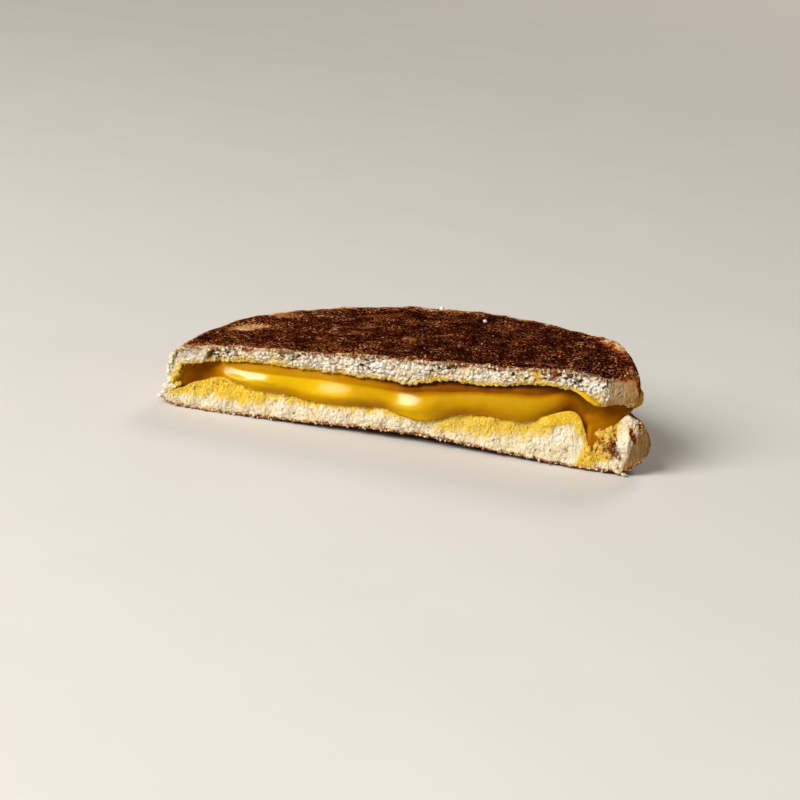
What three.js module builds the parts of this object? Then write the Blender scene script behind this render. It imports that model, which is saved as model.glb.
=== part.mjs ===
// One half of a grilled cheese sandwich, cut straight through the middle.
// Millimetres, +Z up. The cut face looks along -Y, the round crust is behind it (+Y).
// The underside lies on z = 0 and the origin is under the middle of the sandwich half.
import * as THREE from 'three';

// ---- driving sizes ---------------------------------------------------------------------
const WIDTH = 121;            // along the cut, over the lower slice
const DEPTH = 58;             // from the cut to the back of the crust
const CUT_Y = -DEPTH / 2;     // plane of the cut
const ROUND = 2.05;           // roundness of the plan outline, 2 is an ellipse
const SEAM = 0.4;             // air left between bread and cheese
const OFFSET = 0.5;           // sideways, so that the whole width is centred on the origin
const BACKSET = 0.8;          // backwards, which makes room for the cheese that swells out
const BREAD_BLEND = 14;       // a cut line of the upper slice runs into the plain face over this
const BASE_BLEND = 13;        // and one of the lower slice over this
const CHEESE_BLEND = 5;       // and the top of the cheese over this

// plan outlines: reach to the left, to the right and to the back of the cut
const TOP_PLAN = { middle: -0.7, left: 59.2, right: 56.0, back: 57.5 };
const BASE_PLAN = { middle: 0, left: WIDTH / 2 + OFFSET, right: WIDTH / 2 - OFFSET, back: DEPTH };
const CHEESE_PLAN = { middle: -0.7, left: 55.6, right: 55.6, back: 56.4 };

// How late a face rounds over towards the rim: a high power stays flat for longer. The second
// and third numbers hold where the crust meets the cut, on the left and on the right.
const TOP_EDGES = { back: 28, left: 15, right: 30 };
const BASE_EDGES = { back: 28, left: 12, right: 12 };
const CHEESE_EDGE = 16;
const CORNER_FROM = 0.72;     // the corners begin at this heading

// Height of the rim: at the back, what it gains from there to the right end (and loses to the
// left one), and what it gains at both ends. The sandwich is a wedge, thin on the left.
const TOP_RIM = [15.0, 4.6, 0.4];
const BASE_RIM = [5.2, 2.8, -0.2];
const CHEESE_RIM = [10.3, 5.2, 1.3];

// Lines along the cut: a straight line and a few soft bumps [x, height, half width].
const TOP_EDGE = { base: 21.15, slope: 0.084, bumps: [[-12, 0.25, 7], [22, -0.4, 4], [47.5, -1.2, 4.5],
  [53.6, 1.5, 2.6]] };
const TOP_UNDER = { base: 15.1, slope: 0.026, bumps: [[-61, -3.6, 10.8], [-1.2, -0.7, 3], [9.5, 1.4, 6.3],
  [33.8, 3.8, 17.1], [45.7, -1.9, 4.1], [54.5, -1.6, 4]] };
const BASE_UPPER = { base: 7.36, slope: 0.03, bumps: [[-45.4, 3.3, 7.2], [-31, 1.5, 6.5], [-14, 0.9, 7.5],
  [-6.3, 1.2, 3.2], [10.5, 0.5, 4], [17.2, 2.4, 7.1], [24.5, 0.6, 4], [42.9, 6.5, 12.7], [45.9, -9.6, 3.3],
  [53, 2.4, 1.6], [56.5, 5.5, 3.2]] };
const RIBBON_TOP = { base: 14.0, slope: 0.052, bumps: [[-35, 0.45, 5], [-4, -0.85, 6], [24, 1.6, 13],
  [33, 0.5, 6]] };

// Faces behind the cut: height over the middle, slope along the cut, and what the face gains
// (or loses) towards its rim, which grows by a high power.
const TOP_BEHIND = { base: 22.05, slope: 0.105, brim: 0 };
const UNDER_BEHIND = { base: 13.9, slope: 0.075, brim: -2.2 };
const BASE_BEHIND = { base: 7.4, slope: 0.045, brim: 1.2 };
const BRIM_POWER = 8;

// slow waves of the faces: height, length and where the pattern starts
const TOP_WAVE = { high: 0.35, long: 17, seed: 1.3 };
const TOP_RIPPLE = { high: 0.2, long: 7, seed: 4.1 };
const UNDER_WAVE = { high: 0.35, long: 21, seed: 2.2 };
const BASE_WAVE = { high: 0.35, long: 19, seed: 5.2 };
const OUTLINE_WAVE = { high: 0.007, long: 23 };

// Raised lines along the rim: height, share of the way to the outline, half width there, and
// the heading of the middle with its half length.
const TOP_RIDGE = { high: 1.6, rho: 0.945, wide: 0.035, heading: 0.93, long: 0.08 };
const BASE_FOLD = { high: 3.4, rho: 0.93, wide: 0.07, heading: 1, long: 0.4 };
// the upper crust turns down on the left, from this heading on
const LIP = { high: 5.2, rho: 0.978, wide: 0.014, heading: -0.62, fade: 0.25 };
// the cut edge of the underside is lifted off the floor, and lies flat again further back
const ARCH = { high: 2.2, middle: 0.7, wide: 30, depth: 17 };
const PRESSED = 0.06;         // what is pressed off the underside to give it a dead flat foot

// where the cheese begins behind the cut: a deep pocket on the left, two steps on the right
const POCKET = { deep: 9, from: -54, long: 9 };
const RECESSES = [{ deep: 3.6, from: 39, long: 5 }, { deep: 0.8, from: 50, long: 4 }];
// and the ribbon that swells out of the cut between them
const SWELL = { out: 1.15, uneven: 0.3, long: 13, seed: 3.7, from: -47, rise: 6, until: 38, fall: 5 };
const SWELL_FOOT = 0.06;      // the ribbon's profile is a half sine, begun a little late
const SWELL_TALL = 0.88;      // and left a little early
const SWELL_FULL = 0.8;       // and filled out by a power below 1

// torn crumb on the cut: plain depth, large dents, small ones that are wider than tall, brims
const TORN = { deep: 0.45, large: 0.4, largeSize: 5.5, small: 0.25, smallSize: 3.2, flat: 1.7, brim: 0.35 };
const TORN_END = 8;           // none at the very ends of the cut
// where these patterns and the waves of the outlines start
const TORN_SEEDS = { top: 0.8, base: 6.1, small: 2 };
const RIM_SEEDS = { bread: 2.7, cheese: 7.9 };

// ---- helpers ---------------------------------------------------------------------------
const clamp = (v, low, high) => Math.min(high, Math.max(low, v));
const mix = (a, b, t) => a + (b - a) * t;
const bell = (v) => Math.exp(-v * v);

function ease(t) {
  const s = clamp(t, 0, 1);
  return s * s * (3 - 2 * s);
}

function lineAt(x, line) {
  const start = line.base + line.slope * x;
  return line.bumps.reduce((sum, [at, high, wide]) => sum + high * bell((x - at) / wide), start);
}

// soft irregular relief between about -1 and 1: four crossing sine waves
const CRAG_WAVES = 4;
const CRAG_TURN = 2.4;        // each wave is turned on by this angle
const CRAG_SHIFT = 3.1;
const CRAG_LENGTHS = [0.85, 1.1, 1.35, 1.6];

function crag(x, y, size, seed) {
  let sum = 0;
  for (let k = 0; k < CRAG_WAVES; k += 1) {
    const turn = seed + (k + 1) * CRAG_TURN;
    const along = x * Math.cos(turn) + y * Math.sin(turn);
    sum += Math.sin(along * 2 * Math.PI / (size * CRAG_LENGTHS[k]) + turn * CRAG_SHIFT);
  }
  return sum / (CRAG_WAVES - 1);
}

const waveAt = ({ high, long, seed }, x, y) => high * crag(x, y, long, seed);

// ---- plan ------------------------------------------------------------------------------
const reach = (plan, x) => (x < plan.middle ? plan.left : plan.right);

// 0 in the middle of the cut, 1 on the outline; back is the distance behind the cut
function spread(plan, x, back) {
  const side = Math.abs(x - plan.middle) / reach(plan, x);
  return Math.pow(Math.pow(side, ROUND) + Math.pow(Math.max(back, 0) / plan.back, ROUND), 1 / ROUND);
}

// distance from the cut to the outline at x
function depthAt(plan, x) {
  const side = Math.min(1, Math.abs(x - plan.middle) / reach(plan, x));
  return plan.back * Math.pow(1 - Math.pow(side, ROUND), 1 / ROUND);
}

// -1 at the left end, 0 at the back, +1 at the right end
function heading(plan, x, back) {
  const rho = Math.max(spread(plan, x, back), Number.EPSILON);
  return clamp((x - plan.middle) / reach(plan, x) / rho, -1, 1);
}

// 1 over the slice, falling round to 0 on the rim
const roundOver = (rho, edge) => Math.sqrt(Math.max(0, 1 - Math.pow(Math.min(rho, 1), edge)));

function edgeAt(edges, u) {
  const corner = ease((Math.abs(u) - CORNER_FROM) / (1 - CORNER_FROM));
  return mix(edges.back, u < 0 ? edges.left : edges.right, corner);
}

const rimAt = ([back, lean, ends], u) => back + lean * u + ends * u * u;

// a raised line along the rim
function raised(form, rho, u) {
  return form.high * bell((rho - form.rho) / form.wide) * bell((u - form.heading) / form.long);
}

const behindAt = (face, x, rho) => face.base + face.slope * x + face.brim * Math.pow(rho, BRIM_POWER);

// ---- heights of the bread --------------------------------------------------------------
// toasted upper face
function topUpper(x, back) {
  const rho = spread(TOP_PLAN, x, back);
  const u = heading(TOP_PLAN, x, back);
  const behind = behindAt(TOP_BEHIND, x, rho) + waveAt(TOP_WAVE, x, back);
  const sheet = mix(lineAt(x, TOP_EDGE), behind, ease(back / BREAD_BLEND));
  const flat = sheet + raised(TOP_RIDGE, rho, u) + waveAt(TOP_RIPPLE, x, back);
  return mix(rimAt(TOP_RIM, u), flat, roundOver(rho, edgeAt(TOP_EDGES, u)));
}

// soft lower face of the upper slice; on the left its crust turns down and closes the pocket
// against the lower slice
function topLower(x, back) {
  const rho = spread(TOP_PLAN, x, back);
  const u = heading(TOP_PLAN, x, back);
  const behind = behindAt(UNDER_BEHIND, x, rho) + waveAt(UNDER_WAVE, x, back);
  const flat = mix(lineAt(x, TOP_UNDER), behind, ease(back / BREAD_BLEND));
  const sheet = mix(rimAt(TOP_RIM, u), flat, roundOver(rho, edgeAt(TOP_EDGES, u)));
  const lip = LIP.high * bell((rho - LIP.rho) / LIP.wide) * ease((LIP.heading - u) / LIP.fade);
  return Math.max(sheet - lip, baseUpper(x, back) + SEAM);
}

// soft upper face of the lower slice, with a crust that folds up on the right
function baseUpper(x, back) {
  const rho = spread(BASE_PLAN, x, back);
  const u = heading(BASE_PLAN, x, back);
  const behind = behindAt(BASE_BEHIND, x, rho) + waveAt(BASE_WAVE, x, back) + raised(BASE_FOLD, rho, u);
  const flat = mix(lineAt(x, BASE_UPPER), behind, ease(back / BASE_BLEND));
  return mix(rimAt(BASE_RIM, u), flat, roundOver(rho, edgeAt(BASE_EDGES, u)));
}

// toasted lower face of the lower slice, dead flat where it carries the sandwich
function baseLower(x, back) {
  const rho = spread(BASE_PLAN, x, back);
  const u = heading(BASE_PLAN, x, back);
  const arch = ARCH.high * bell((x - ARCH.middle) / ARCH.wide) * (1 - ease(back / ARCH.depth));
  const lift = mix(rimAt(BASE_RIM, u), 0, roundOver(rho, edgeAt(BASE_EDGES, u)));
  return Math.max(0, lift + arch - PRESSED);
}

// ---- the cheese ------------------------------------------------------------------------
// how far behind the cut the cheese begins
function cheeseBack(x) {
  const pocket = POCKET.deep * (1 - ease((x - POCKET.from) / POCKET.long));
  return RECESSES.reduce((sum, step) => sum + step.deep * ease((x - step.from) / step.long), pocket);
}

function cheeseUpper(x, back) {
  const rho = spread(CHEESE_PLAN, x, back);
  const u = heading(CHEESE_PLAN, x, back);
  const touch = topLower(x, back) - SEAM;
  const ribbon = Math.min(lineAt(x, RIBBON_TOP), touch);
  const flat = mix(ribbon, touch, ease(back / CHEESE_BLEND));
  return mix(rimAt(CHEESE_RIM, u), flat, roundOver(rho, CHEESE_EDGE));
}

function cheeseLower(x, back) {
  const rho = spread(CHEESE_PLAN, x, back);
  const u = heading(CHEESE_PLAN, x, back);
  return mix(rimAt(CHEESE_RIM, u), baseUpper(x, back) + SEAM, roundOver(rho, CHEESE_EDGE));
}

// ---- closed bodies ---------------------------------------------------------------------
const HALVINGS = 40;          // steps of the search for the end of a body
const EVEN_SHARE = 0.46;      // stations: this much evenly spaced, the rest closer at the ends
// steps from the cut (0) to the rim (1), closer together where the edge rounds over
const FACE_STEPS = [0, 0.06, 0.13, 0.22, 0.33, 0.45, 0.57, 0.68, 0.78, 0.86, 0.92, 0.963, 0.99];

// the last place towards one side where the body still has some depth behind its front
function endOf(plan, start, sign) {
  let inside = plan.middle;
  let outside = plan.middle + sign * (sign < 0 ? plan.left : plan.right);
  for (let k = 0; k < HALVINGS; k += 1) {
    const x = (inside + outside) / 2;
    if (depthAt(plan, x) > start(x)) inside = x;
    else outside = x;
  }
  return inside;
}

// positions along the cut, closer together towards both ends
function stationsOf(plan, start, count) {
  const left = plan.middle - endOf(plan, start, -1);
  const right = endOf(plan, start, 1) - plan.middle;
  const xs = [];
  for (let i = 0; i <= count; i += 1) {
    const s = 2 * i / count - 1;
    const share = mix(Math.sin(s * Math.PI / 2), s, EVEN_SHARE);
    xs.push(plan.middle + share * (s < 0 ? left : right));
  }
  return xs;
}

// The closed loop of points at one station: up the cut face, back over the upper face, round
// the rim and forward below.
function loopAt(shape, x, add) {
  const { plan, faceRows, upper, lower, start, front, rimSeed } = shape;
  const from = start(x);
  const deep = depthAt(plan, x);
  const wavy = deep * (1 + OUTLINE_WAVE.high * crag(x, 0, OUTLINE_WAVE.long, rimSeed));
  const low = lower(x, from);
  const high = upper(x, from);
  const loop = [];
  for (let k = 0; k < faceRows; k += 1) {
    const t = k / faceRows;
    const z = mix(low, high, t);
    loop.push(add(x, CUT_Y + from + front(x, z, t), z));
  }
  FACE_STEPS.forEach((g) => {
    const sink = g === 0 ? front(x, high, 1) : 0;
    loop.push(add(x, CUT_Y + mix(from, wavy, g) + sink, upper(x, mix(from, deep, g))));
  });
  loop.push(add(x, CUT_Y + wavy, upper(x, deep)));
  FACE_STEPS.slice(1).reverse().forEach((g) => {
    loop.push(add(x, CUT_Y + mix(from, wavy, g), lower(x, mix(from, deep, g))));
  });
  return loop;
}

// triangles between the loops, and to a single point beyond the first and the last one
function facesOf(loops, ends) {
  const faces = [];
  const many = loops[0].length;
  const last = loops[loops.length - 1];
  for (let k = 0; k < many; k += 1) {
    const n = (k + 1) % many;
    faces.push(ends[0], loops[0][k], loops[0][n]);
    faces.push(ends[1], last[n], last[k]);
    for (let i = 0; i + 1 < loops.length; i += 1) {
      faces.push(loops[i][k], loops[i + 1][k], loops[i + 1][n]);
      faces.push(loops[i][k], loops[i + 1][n], loops[i][n]);
    }
  }
  return faces;
}

// one body: a loop at every station, joined to the next, with a point at each end
function bodyOf(shape) {
  const { plan, stations, upper, start } = shape;
  const points = [];
  const add = (x, y, z) => points.push(x, y, z) / 3 - 1;
  const xs = stationsOf(plan, start, stations);
  const ends = [xs[0], xs[stations]].map((x) => add(x, CUT_Y + start(x), upper(x, start(x))));
  const loops = xs.slice(1, -1).map((x) => loopAt(shape, x, add));
  const geometry = new THREE.BufferGeometry();
  geometry.setAttribute('position', new THREE.Float32BufferAttribute(points, 3));
  geometry.setIndex(facesOf(loops, ends));
  geometry.computeVertexNormals();
  return geometry;
}

// shallow pulls and dents of torn crumb, fading at the very ends of the cut
function tornCrumb(x, z, t, seed) {
  const inside = ease((WIDTH / 2 - Math.abs(x)) / TORN_END);
  const large = TORN.large * crag(x, z, TORN.largeSize, seed);
  const small = TORN.small * crag(x, z * TORN.flat, TORN.smallSize, seed + TORN_SEEDS.small);
  const brim = TORN.brim * (1 - Math.sin(Math.PI * clamp(t, 0, 1)));
  return Math.max(0, TORN.deep + large + small + brim) * inside;
}

// the melted ribbon swells out of the cut in slow lobes
function swell(x, z, t) {
  const run = ease((x - SWELL.from) / SWELL.rise) * (1 - ease((x - SWELL.until) / SWELL.fall));
  const lobe = SWELL.out + SWELL.uneven * crag(x, 0, SWELL.long, SWELL.seed);
  const profile = Math.sin(Math.PI * clamp(SWELL_FOOT + SWELL_TALL * t, 0, 1));
  return -lobe * run * Math.pow(profile, SWELL_FULL);
}

const topShape = {
  plan: TOP_PLAN,
  stations: 56,
  faceRows: 9,
  upper: topUpper,
  lower: topLower,
  start: () => 0,
  front: (x, z, t) => tornCrumb(x, z, t, TORN_SEEDS.top),
  rimSeed: RIM_SEEDS.bread,
};

const baseShape = {
  plan: BASE_PLAN,
  stations: 56,
  faceRows: 9,
  upper: baseUpper,
  lower: baseLower,
  start: () => 0,
  front: (x, z, t) => tornCrumb(x, z, t, TORN_SEEDS.base),
  rimSeed: RIM_SEEDS.bread,
};

const cheeseShape = {
  plan: CHEESE_PLAN,
  stations: 48,
  faceRows: 6,
  upper: cheeseUpper,
  lower: cheeseLower,
  start: cheeseBack,
  front: swell,
  rimSeed: RIM_SEEDS.cheese,
};

// ---- materials and scene graph ---------------------------------------------------------
const toasted = new THREE.MeshStandardMaterial({ color: 0xb9793e, roughness: 0.8, metalness: 0 });
const breadUnder = new THREE.MeshStandardMaterial({ color: 0xe9d9b2, roughness: 0.9, metalness: 0 });
const melted = new THREE.MeshStandardMaterial({ color: 0xf0b010, roughness: 0.35, metalness: 0 });

function meshOf(name, shape, material) {
  const mesh = new THREE.Mesh(bodyOf(shape), material);
  mesh.name = name;
  mesh.position.set(OFFSET, BACKSET, 0);
  return mesh;
}

const group = new THREE.Group();
group.name = 'grilled_cheese_half';
group.add(meshOf('top_slice', topShape, toasted));
group.add(meshOf('cheese', cheeseShape, melted));
group.add(meshOf('bottom_slice', baseShape, breadUnder));

export default group;
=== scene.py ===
"""Looks of one half of a grilled cheese sandwich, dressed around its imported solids.

Shapes are worked out in millimetres as arrays, with x along the cut, "back" measured from the cut
towards the round crust and z up, and go into the meshes in metres. Every slice is a soft crumb
body inside a thin toasted crust. Torn crumb, pits and blisters are real relief in the meshes.
"""
import math
from collections import namedtuple

import bpy
import numpy as np
from mathutils import Matrix


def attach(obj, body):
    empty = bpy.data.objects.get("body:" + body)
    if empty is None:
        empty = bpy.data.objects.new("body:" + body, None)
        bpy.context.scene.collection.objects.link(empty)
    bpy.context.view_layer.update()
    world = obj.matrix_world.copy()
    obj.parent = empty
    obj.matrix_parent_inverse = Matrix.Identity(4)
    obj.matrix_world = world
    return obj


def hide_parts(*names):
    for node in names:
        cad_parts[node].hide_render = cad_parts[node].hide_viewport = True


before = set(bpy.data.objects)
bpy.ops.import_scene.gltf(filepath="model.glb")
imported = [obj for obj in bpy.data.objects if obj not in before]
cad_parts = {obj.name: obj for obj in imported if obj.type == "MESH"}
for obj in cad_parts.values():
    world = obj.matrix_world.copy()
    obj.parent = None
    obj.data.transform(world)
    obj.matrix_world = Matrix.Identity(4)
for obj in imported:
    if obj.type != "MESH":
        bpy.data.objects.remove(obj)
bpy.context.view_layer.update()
BODY = "root"

# ---- sizes in millimetres ----------------------------------------------------------------
MM = 0.001
WIDTH = 121.0             # along the cut, over the lower slice
DEPTH = 58.0              # from the cut to the back of the crust
OFFSET = 0.5              # sideways place of the middle
BACKSET = 0.8             # room in front for the cheese that swells out
CUT_Y = BACKSET - DEPTH / 2
ROUND = 2.05              # roundness of the plan, 2 is an ellipse
ARCH = 2.2                # the cut edge of the underside is lifted off the floor
ARCH_AT, ARCH_WIDE = 0.7, 30.0
ARCH_BACK = 17.0          # and lies flat again this far behind the cut
PRESSED = 0.06            # what is lower than this was pressed flat
SKIN = 0.8                # thickness of the toasted crust
TUCK = 0.45               # the crumb starts this far inside the crust's outer face
BITE = -0.25              # the cheese sinks this far into the bread it sticks to
TOP_BLEND, BASE_BLEND = 14.0, 13.0      # the lines along the cut reach this far back
TOP_DROOP, BASE_LIFT = 2.2, 1.2         # the soft faces draw together towards the rim
DRAW_POWER = 8                          # and do it as late as this power says
CHEESE_EDGE = 60.0                      # how late the cheese rounds over at its rim
EDGE_BACK = 28.0                        # how late a slice does so at the back
TOP_EDGE_CUT, BASE_EDGE_CUT = (15.0, 30.0), (12.0, 12.0)    # and at the cut's left and right end
CORNER = 0.72                           # heading from which the cut's end counts

Plan = namedtuple("Plan", "middle left right back")
TOP_PLAN = Plan(-0.7, 59.2, 56.0, 57.5)
BASE_PLAN = Plan(0.0, WIDTH / 2 + OFFSET, WIDTH / 2 - OFFSET, DEPTH)
CHEESE_PLAN = Plan(-0.7, 57.7, 55.5, 56.8)

# a straight line along x with soft bumps on it: where, how high, half width
Line = namedtuple("Line", "base slope spots")
TOP_EDGE = Line(21.15, 0.084, [(-12, 0.25, 7), (22, -0.4, 4), (47.5, -1.2, 4.5), (53.6, 1.5, 2.6)])
TOP_UNDER = Line(15.1, 0.026, [(-61, -3.6, 10.8), (-1.2, -0.7, 3), (9.5, 1.4, 6.3), (33.8, 3.8, 17.1),
                               (45.7, -1.9, 4.1), (54.5, -1.6, 4)])
BASE_UPPER = Line(7.36, 0.03, [(-45.4, 3.3, 7.2), (-31.0, 1.5, 6.5), (-14.0, 0.9, 7.5), (-6.3, 1.2, 3.2),
                               (10.5, 0.5, 4.0), (17.2, 2.4, 7.1), (24.5, 0.6, 4.0), (42.9, 6.5, 12.7),
                               (45.9, -9.6, 3.3), (53.0, 2.4, 1.6), (56.5, 5.5, 3.2)])
RIBBON_TOP = Line(14.0, 0.052, [(-35, 0.45, 5), (-4, -0.85, 6), (24, 1.6, 13), (33, 0.5, 6)])
# the same faces far behind the cut
TOP_BEHIND = Line(TOP_EDGE.base + 0.9, 0.105, [])
UNDER_BEHIND = Line(13.9, 0.075, [])
BASE_BEHIND = Line(7.4, 0.045, [])
# how far behind the cut the cheese lies in the hollow on the left
POCKET = Line(0.3, 0.0, [(-51.3, 5.4, 4.3)])
# how far it swells out of the cut, and how far its foot hangs over the lower slice
LOBES = Line(0.9, 0.0, [(-36, 0.5, 6), (-14, 0.9, 7), (5, 1.3, 6.5), (20, 0.4, 6), (33, 0.9, 6)])
HANGS = Line(0.12, 0.0, [(4, 0.7, 4)])
# painted shade at its foot: how dark it is
FOOT_SHADE = Line(0.36, 0.0, [(-32, 0.15, 5), (-10, 0.3, 5), (-0.6, -0.25, 4), (4.5, -0.42, 4.5),
                              (12, 0.3, 5)])
# how much further browning reaches down the cut of the upper slice
SINGED_DEEPER = Line(0.0, 0.0, [(-40.9, 0.9, 1.5), (-14.6, 0.8, 1.6), (11.6, 1.2, 1.6), (19.2, 1.0, 1.9),
                                (34.2, 1.4, 1.7)])
# how far cheese soaked into the lower slice
SOAKED_REACH = Line(2.3, 0.0, [(-43.5, 3.4, 8.5), (17, 1.4, 9)])

# height of a rim: at the back, how much more at the right end, and how much more at both ends
Rim = namedtuple("Rim", "level tilt bow")
TOP_RIM, BASE_RIM, CHEESE_RIM = Rim(15.0, 4.6, 0.4), Rim(5.2, 2.8, -0.2), Rim(10.3, 5.2, 1.3)

# crossing waves of the broad faces: height, size and seed
Waves = namedtuple("Waves", "high size seed")
TOP_WAVES, UNDER_WAVES, BASE_WAVES = Waves(0.35, 17, 1.3), Waves(0.35, 21, 2.2), Waves(0.35, 19, 5.2)
TOP_RIPPLES, CHEESE_WAVES = Waves(0.2, 7, 4.1), Waves(0.15, 13, 3.7)
WAVE_TURN, WAVE_SHIFT = 2.4, 3.1        # radians from one of its waves to the next

# a raised place near a rim: height, how far out it lies (1 is the rim) and its half width there,
# its heading (-1 left, 0 back, 1 right) and its half length
Welt = namedtuple("Welt", "high rho wide at long")
RIDGE = Welt(1.6, 0.945, 0.035, 0.93, 0.08)     # of the upper crust, at the back on the right
FOLD = Welt(3.4, 0.93, 0.07, 1.0, 0.4)          # of the lower crust, folded up on the right
LIP = Welt(5.2, 0.978, 0.014, -0.62, 0.25)      # the upper crust turns down left of its heading
CURL = Welt(1.1, 0.917, 0.028, 0.92, 0.075)     # golden curled crust at the back on the right
CURL_SLOPE = 0.22                               # and how fast it runs outwards

# where the cheese draws back on the right: by how much, from where, over which length, and the
# ledge below, which it leaves in place from another x onwards
RECESS, RECESS_FROM, RECESS_OVER = 5.4, 27, 19
LEDGE, LEDGE_SLOPE, LEDGE_FADE = 9.0, 0.12, 5.0
LEDGE_FROM, LEDGE_OVER, LEDGE_AT = 42, 3, 46
END_HEIGHT = 15.0                             # height at which its end is looked for

# flat glossy places on the cheese: where, half length, half height, distance behind the cut,
# how wet, and how sharply they end
Gloss = namedtuple("Gloss", "x z long tall back wet edge")
GLOSSES = [Gloss(-41.0, 11.3, 7.4, 1.5, 0.3, 1.0, 4), Gloss(-19.2, 11.3, 5.6, 2.3, -0.5, 0.36, 2),
           Gloss(-0.6, 11.2, 3.5, 2.3, -0.95, 0.8, 3)]
GLOSS_ALONG, GLOSS_UP = -0.31, 0.50             # how they lean, to the left and upwards
# painted highlights round them, a paler colour: x, height, half length, half height
PAINTED_GLOWS = [(-36.0, 10.8, 9.0, 3.5), (-19.2, 10.6, 7.0, 3.5), (-0.8, 10.2, 4.5, 3.5)]

# how the cut turns away to the side at its ends: from where, and by which share of each
# millimetre past that place
Turn = namedtuple("Turn", "left left_share right right_share")
TOP_TURN, BASE_TURN = Turn(-54.0, 0.25, 46.5, 0.45), Turn(-57.0, 0.3, 55.0, 0.75)
CHEESE_TURN = Turn(-WIDTH, 0.0, 51.0, 0.5)
TURN_FADE = 9.0                                 # the turn fades out this far behind the cut
FRONT_FADE = 1.2                                # and what only shapes the cut, this far behind it


# ---- smooth random relief ----------------------------------------------------------------
def cell_hash(cell, seed):
    """One repeatable number from 0 to 1 for each whole-number cell: x, y and z are multiplied
    by large odd numbers, added, and their bits mixed twice."""
    n = cell[..., 0] * 374761393 + cell[..., 1] * 668265263 + cell[..., 2] * 1440662683
    n = (n + seed * 974634777) & 0xFFFFFFFF
    n = ((n ^ (n >> 13)) * 1274126177) & 0xFFFFFFFF
    n = ((n ^ (n >> 16)) * 668265261) & 0xFFFFFFFF
    return ((n ^ (n >> 15)) & 0xFFFFFF) / 0xFFFFFF


# turns the noise's grid, so that its cells line up with no axis of the part
TILT = np.array([[0.80, 0.36, -0.48], [-0.60, 0.48, -0.64], [0.0, 0.80, 0.60]])


def smooth_noise(p, size, seed):
    """Values from -1 to 1: the corners of cells of the given size hold random numbers, which
    are blended across each cell along the curve 3t^2 - 2t^3."""
    q = (p @ TILT) / size
    cell = np.floor(q).astype(np.int64)
    t = q - cell
    w = t * t * (3 - 2 * t)
    total = np.zeros(p.shape[:-1])
    for corner in np.ndindex(2, 2, 2):
        c = np.array(corner)
        share = np.prod(np.where(c == 1, w, 1 - w), axis=-1)
        total += share * cell_hash(cell + c, seed)
    return 2 * total - 1


def layered(p, size, seed, layers=3):
    """Sum of smooth noise, each layer half as large and half as strong as the one before."""
    total = np.zeros(p.shape[:-1])
    for k in range(layers):
        total += 0.5 ** k * smooth_noise(p, size / 2 ** k, seed + 17 * k)
    return total / (2 - 0.5 ** (layers - 1))


def nearest_cells(p, size, seed):
    """Each cell of the given size holds one random point. Returns the distance to the nearest
    of them, in cells, how much further the second one is, and the nearest cell's own number."""
    q = p / size
    cell = np.floor(q).astype(np.int64)
    first = np.full(p.shape[:-1], 9.0)
    second = first.copy()
    own = np.zeros(p.shape[:-1])
    for step in np.ndindex(3, 3, 3):
        near = cell + np.array(step) - 1
        spot = np.stack([cell_hash(near, seed + k) for k in range(3)], axis=-1)
        far = np.linalg.norm(near + spot - q, axis=-1)
        closer = far < first
        second = np.where(closer, first, np.minimum(second, far))
        own = np.where(closer, cell_hash(near, seed + 3), own)
        first = np.where(closer, far, first)
    return first, second - first, own


# ---- small helpers -----------------------------------------------------------------------
def mix(a, b, t):
    return a + (b - a) * t


def ease(t):
    """0 below 0, 1 above 1 and a soft step between."""
    s = np.clip(t, 0, 1)
    return s * s * (3 - 2 * s)


def rise(v, start, over):
    """0 up to the start, then a soft step up to 1 over the given length."""
    return ease((v - start) / over)


def fall(v, end, over):
    """0 from the end onwards, 1 from the given length before it."""
    return ease((end - v) / over)


def hump(v, at, wide):
    """1 at one place, fading out to both sides like a bell with the given half width."""
    s = (v - at) / wide
    return np.exp(-s * s)


def bumps(x, line):
    """A straight line along x with a bell-shaped bump at each of its spots."""
    height = line.base + line.slope * x
    for at, high, wide in line.spots:
        height = height + high * hump(x, at, wide)
    return height


def patch(x, y, at, level, long, wide, turn=0.0):
    """1 in the middle of a turned oval with the given half length and half width, fading out."""
    dx, dy = x - at, y - level
    along = dx * math.cos(turn) + dy * math.sin(turn)
    across = dy * math.cos(turn) - dx * math.sin(turn)
    return hump(along, 0, long) * hump(across, 0, wide)


def near_ends(rings, steps):
    """0 on the first and last ring, 1 from the given number of rings inwards."""
    count = np.arange(len(rings))
    return ease(np.minimum(count, count[::-1]) / steps)[:, None]


def crag(x, y, size, seed):
    """Sum of four crossing sine waves, about -1 to 1, the same relief as in the solids."""
    total = 0
    for k in range(1, 5):
        turn = seed + k * WAVE_TURN
        along = x * math.cos(turn) + y * math.sin(turn)
        total = total + np.sin(along * 2 * math.pi / (size * (0.6 + 0.25 * k)) + turn * WAVE_SHIFT)
    return total / 3


def wavy(x, y, waves):
    return waves.high * crag(x, y, waves.size, waves.seed)


# ---- plan of a slice ---------------------------------------------------------------------
def shrink(plan, by):
    return Plan(plan.middle, plan.left - by, plan.right - by, plan.back - by)


def side_of(plan, x):
    return np.abs(x - plan.middle) / np.where(x < plan.middle, plan.left, plan.right)


def spread(plan, x, back):
    """0 in the middle of the cut, 1 on the outline: the n-th root of side^n + depth^n."""
    deep = np.maximum(back, 0) / plan.back
    return (side_of(plan, x) ** ROUND + deep ** ROUND) ** (1 / ROUND)


def depth_at(plan, x, rho=1.0):
    """Distance from the cut to the line where spread has the value rho."""
    return plan.back * np.maximum(rho ** ROUND - side_of(plan, x) ** ROUND, 0) ** (1 / ROUND)


def place_on(plan, x, back):
    """Spread, and the heading: -1 at the left end, 0 at the back, +1 at the right end."""
    rho = spread(plan, x, back)
    side = np.sign(x - plan.middle) * side_of(plan, x) / np.maximum(rho, 1e-6)
    return rho, np.clip(side, -1, 1)


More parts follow.
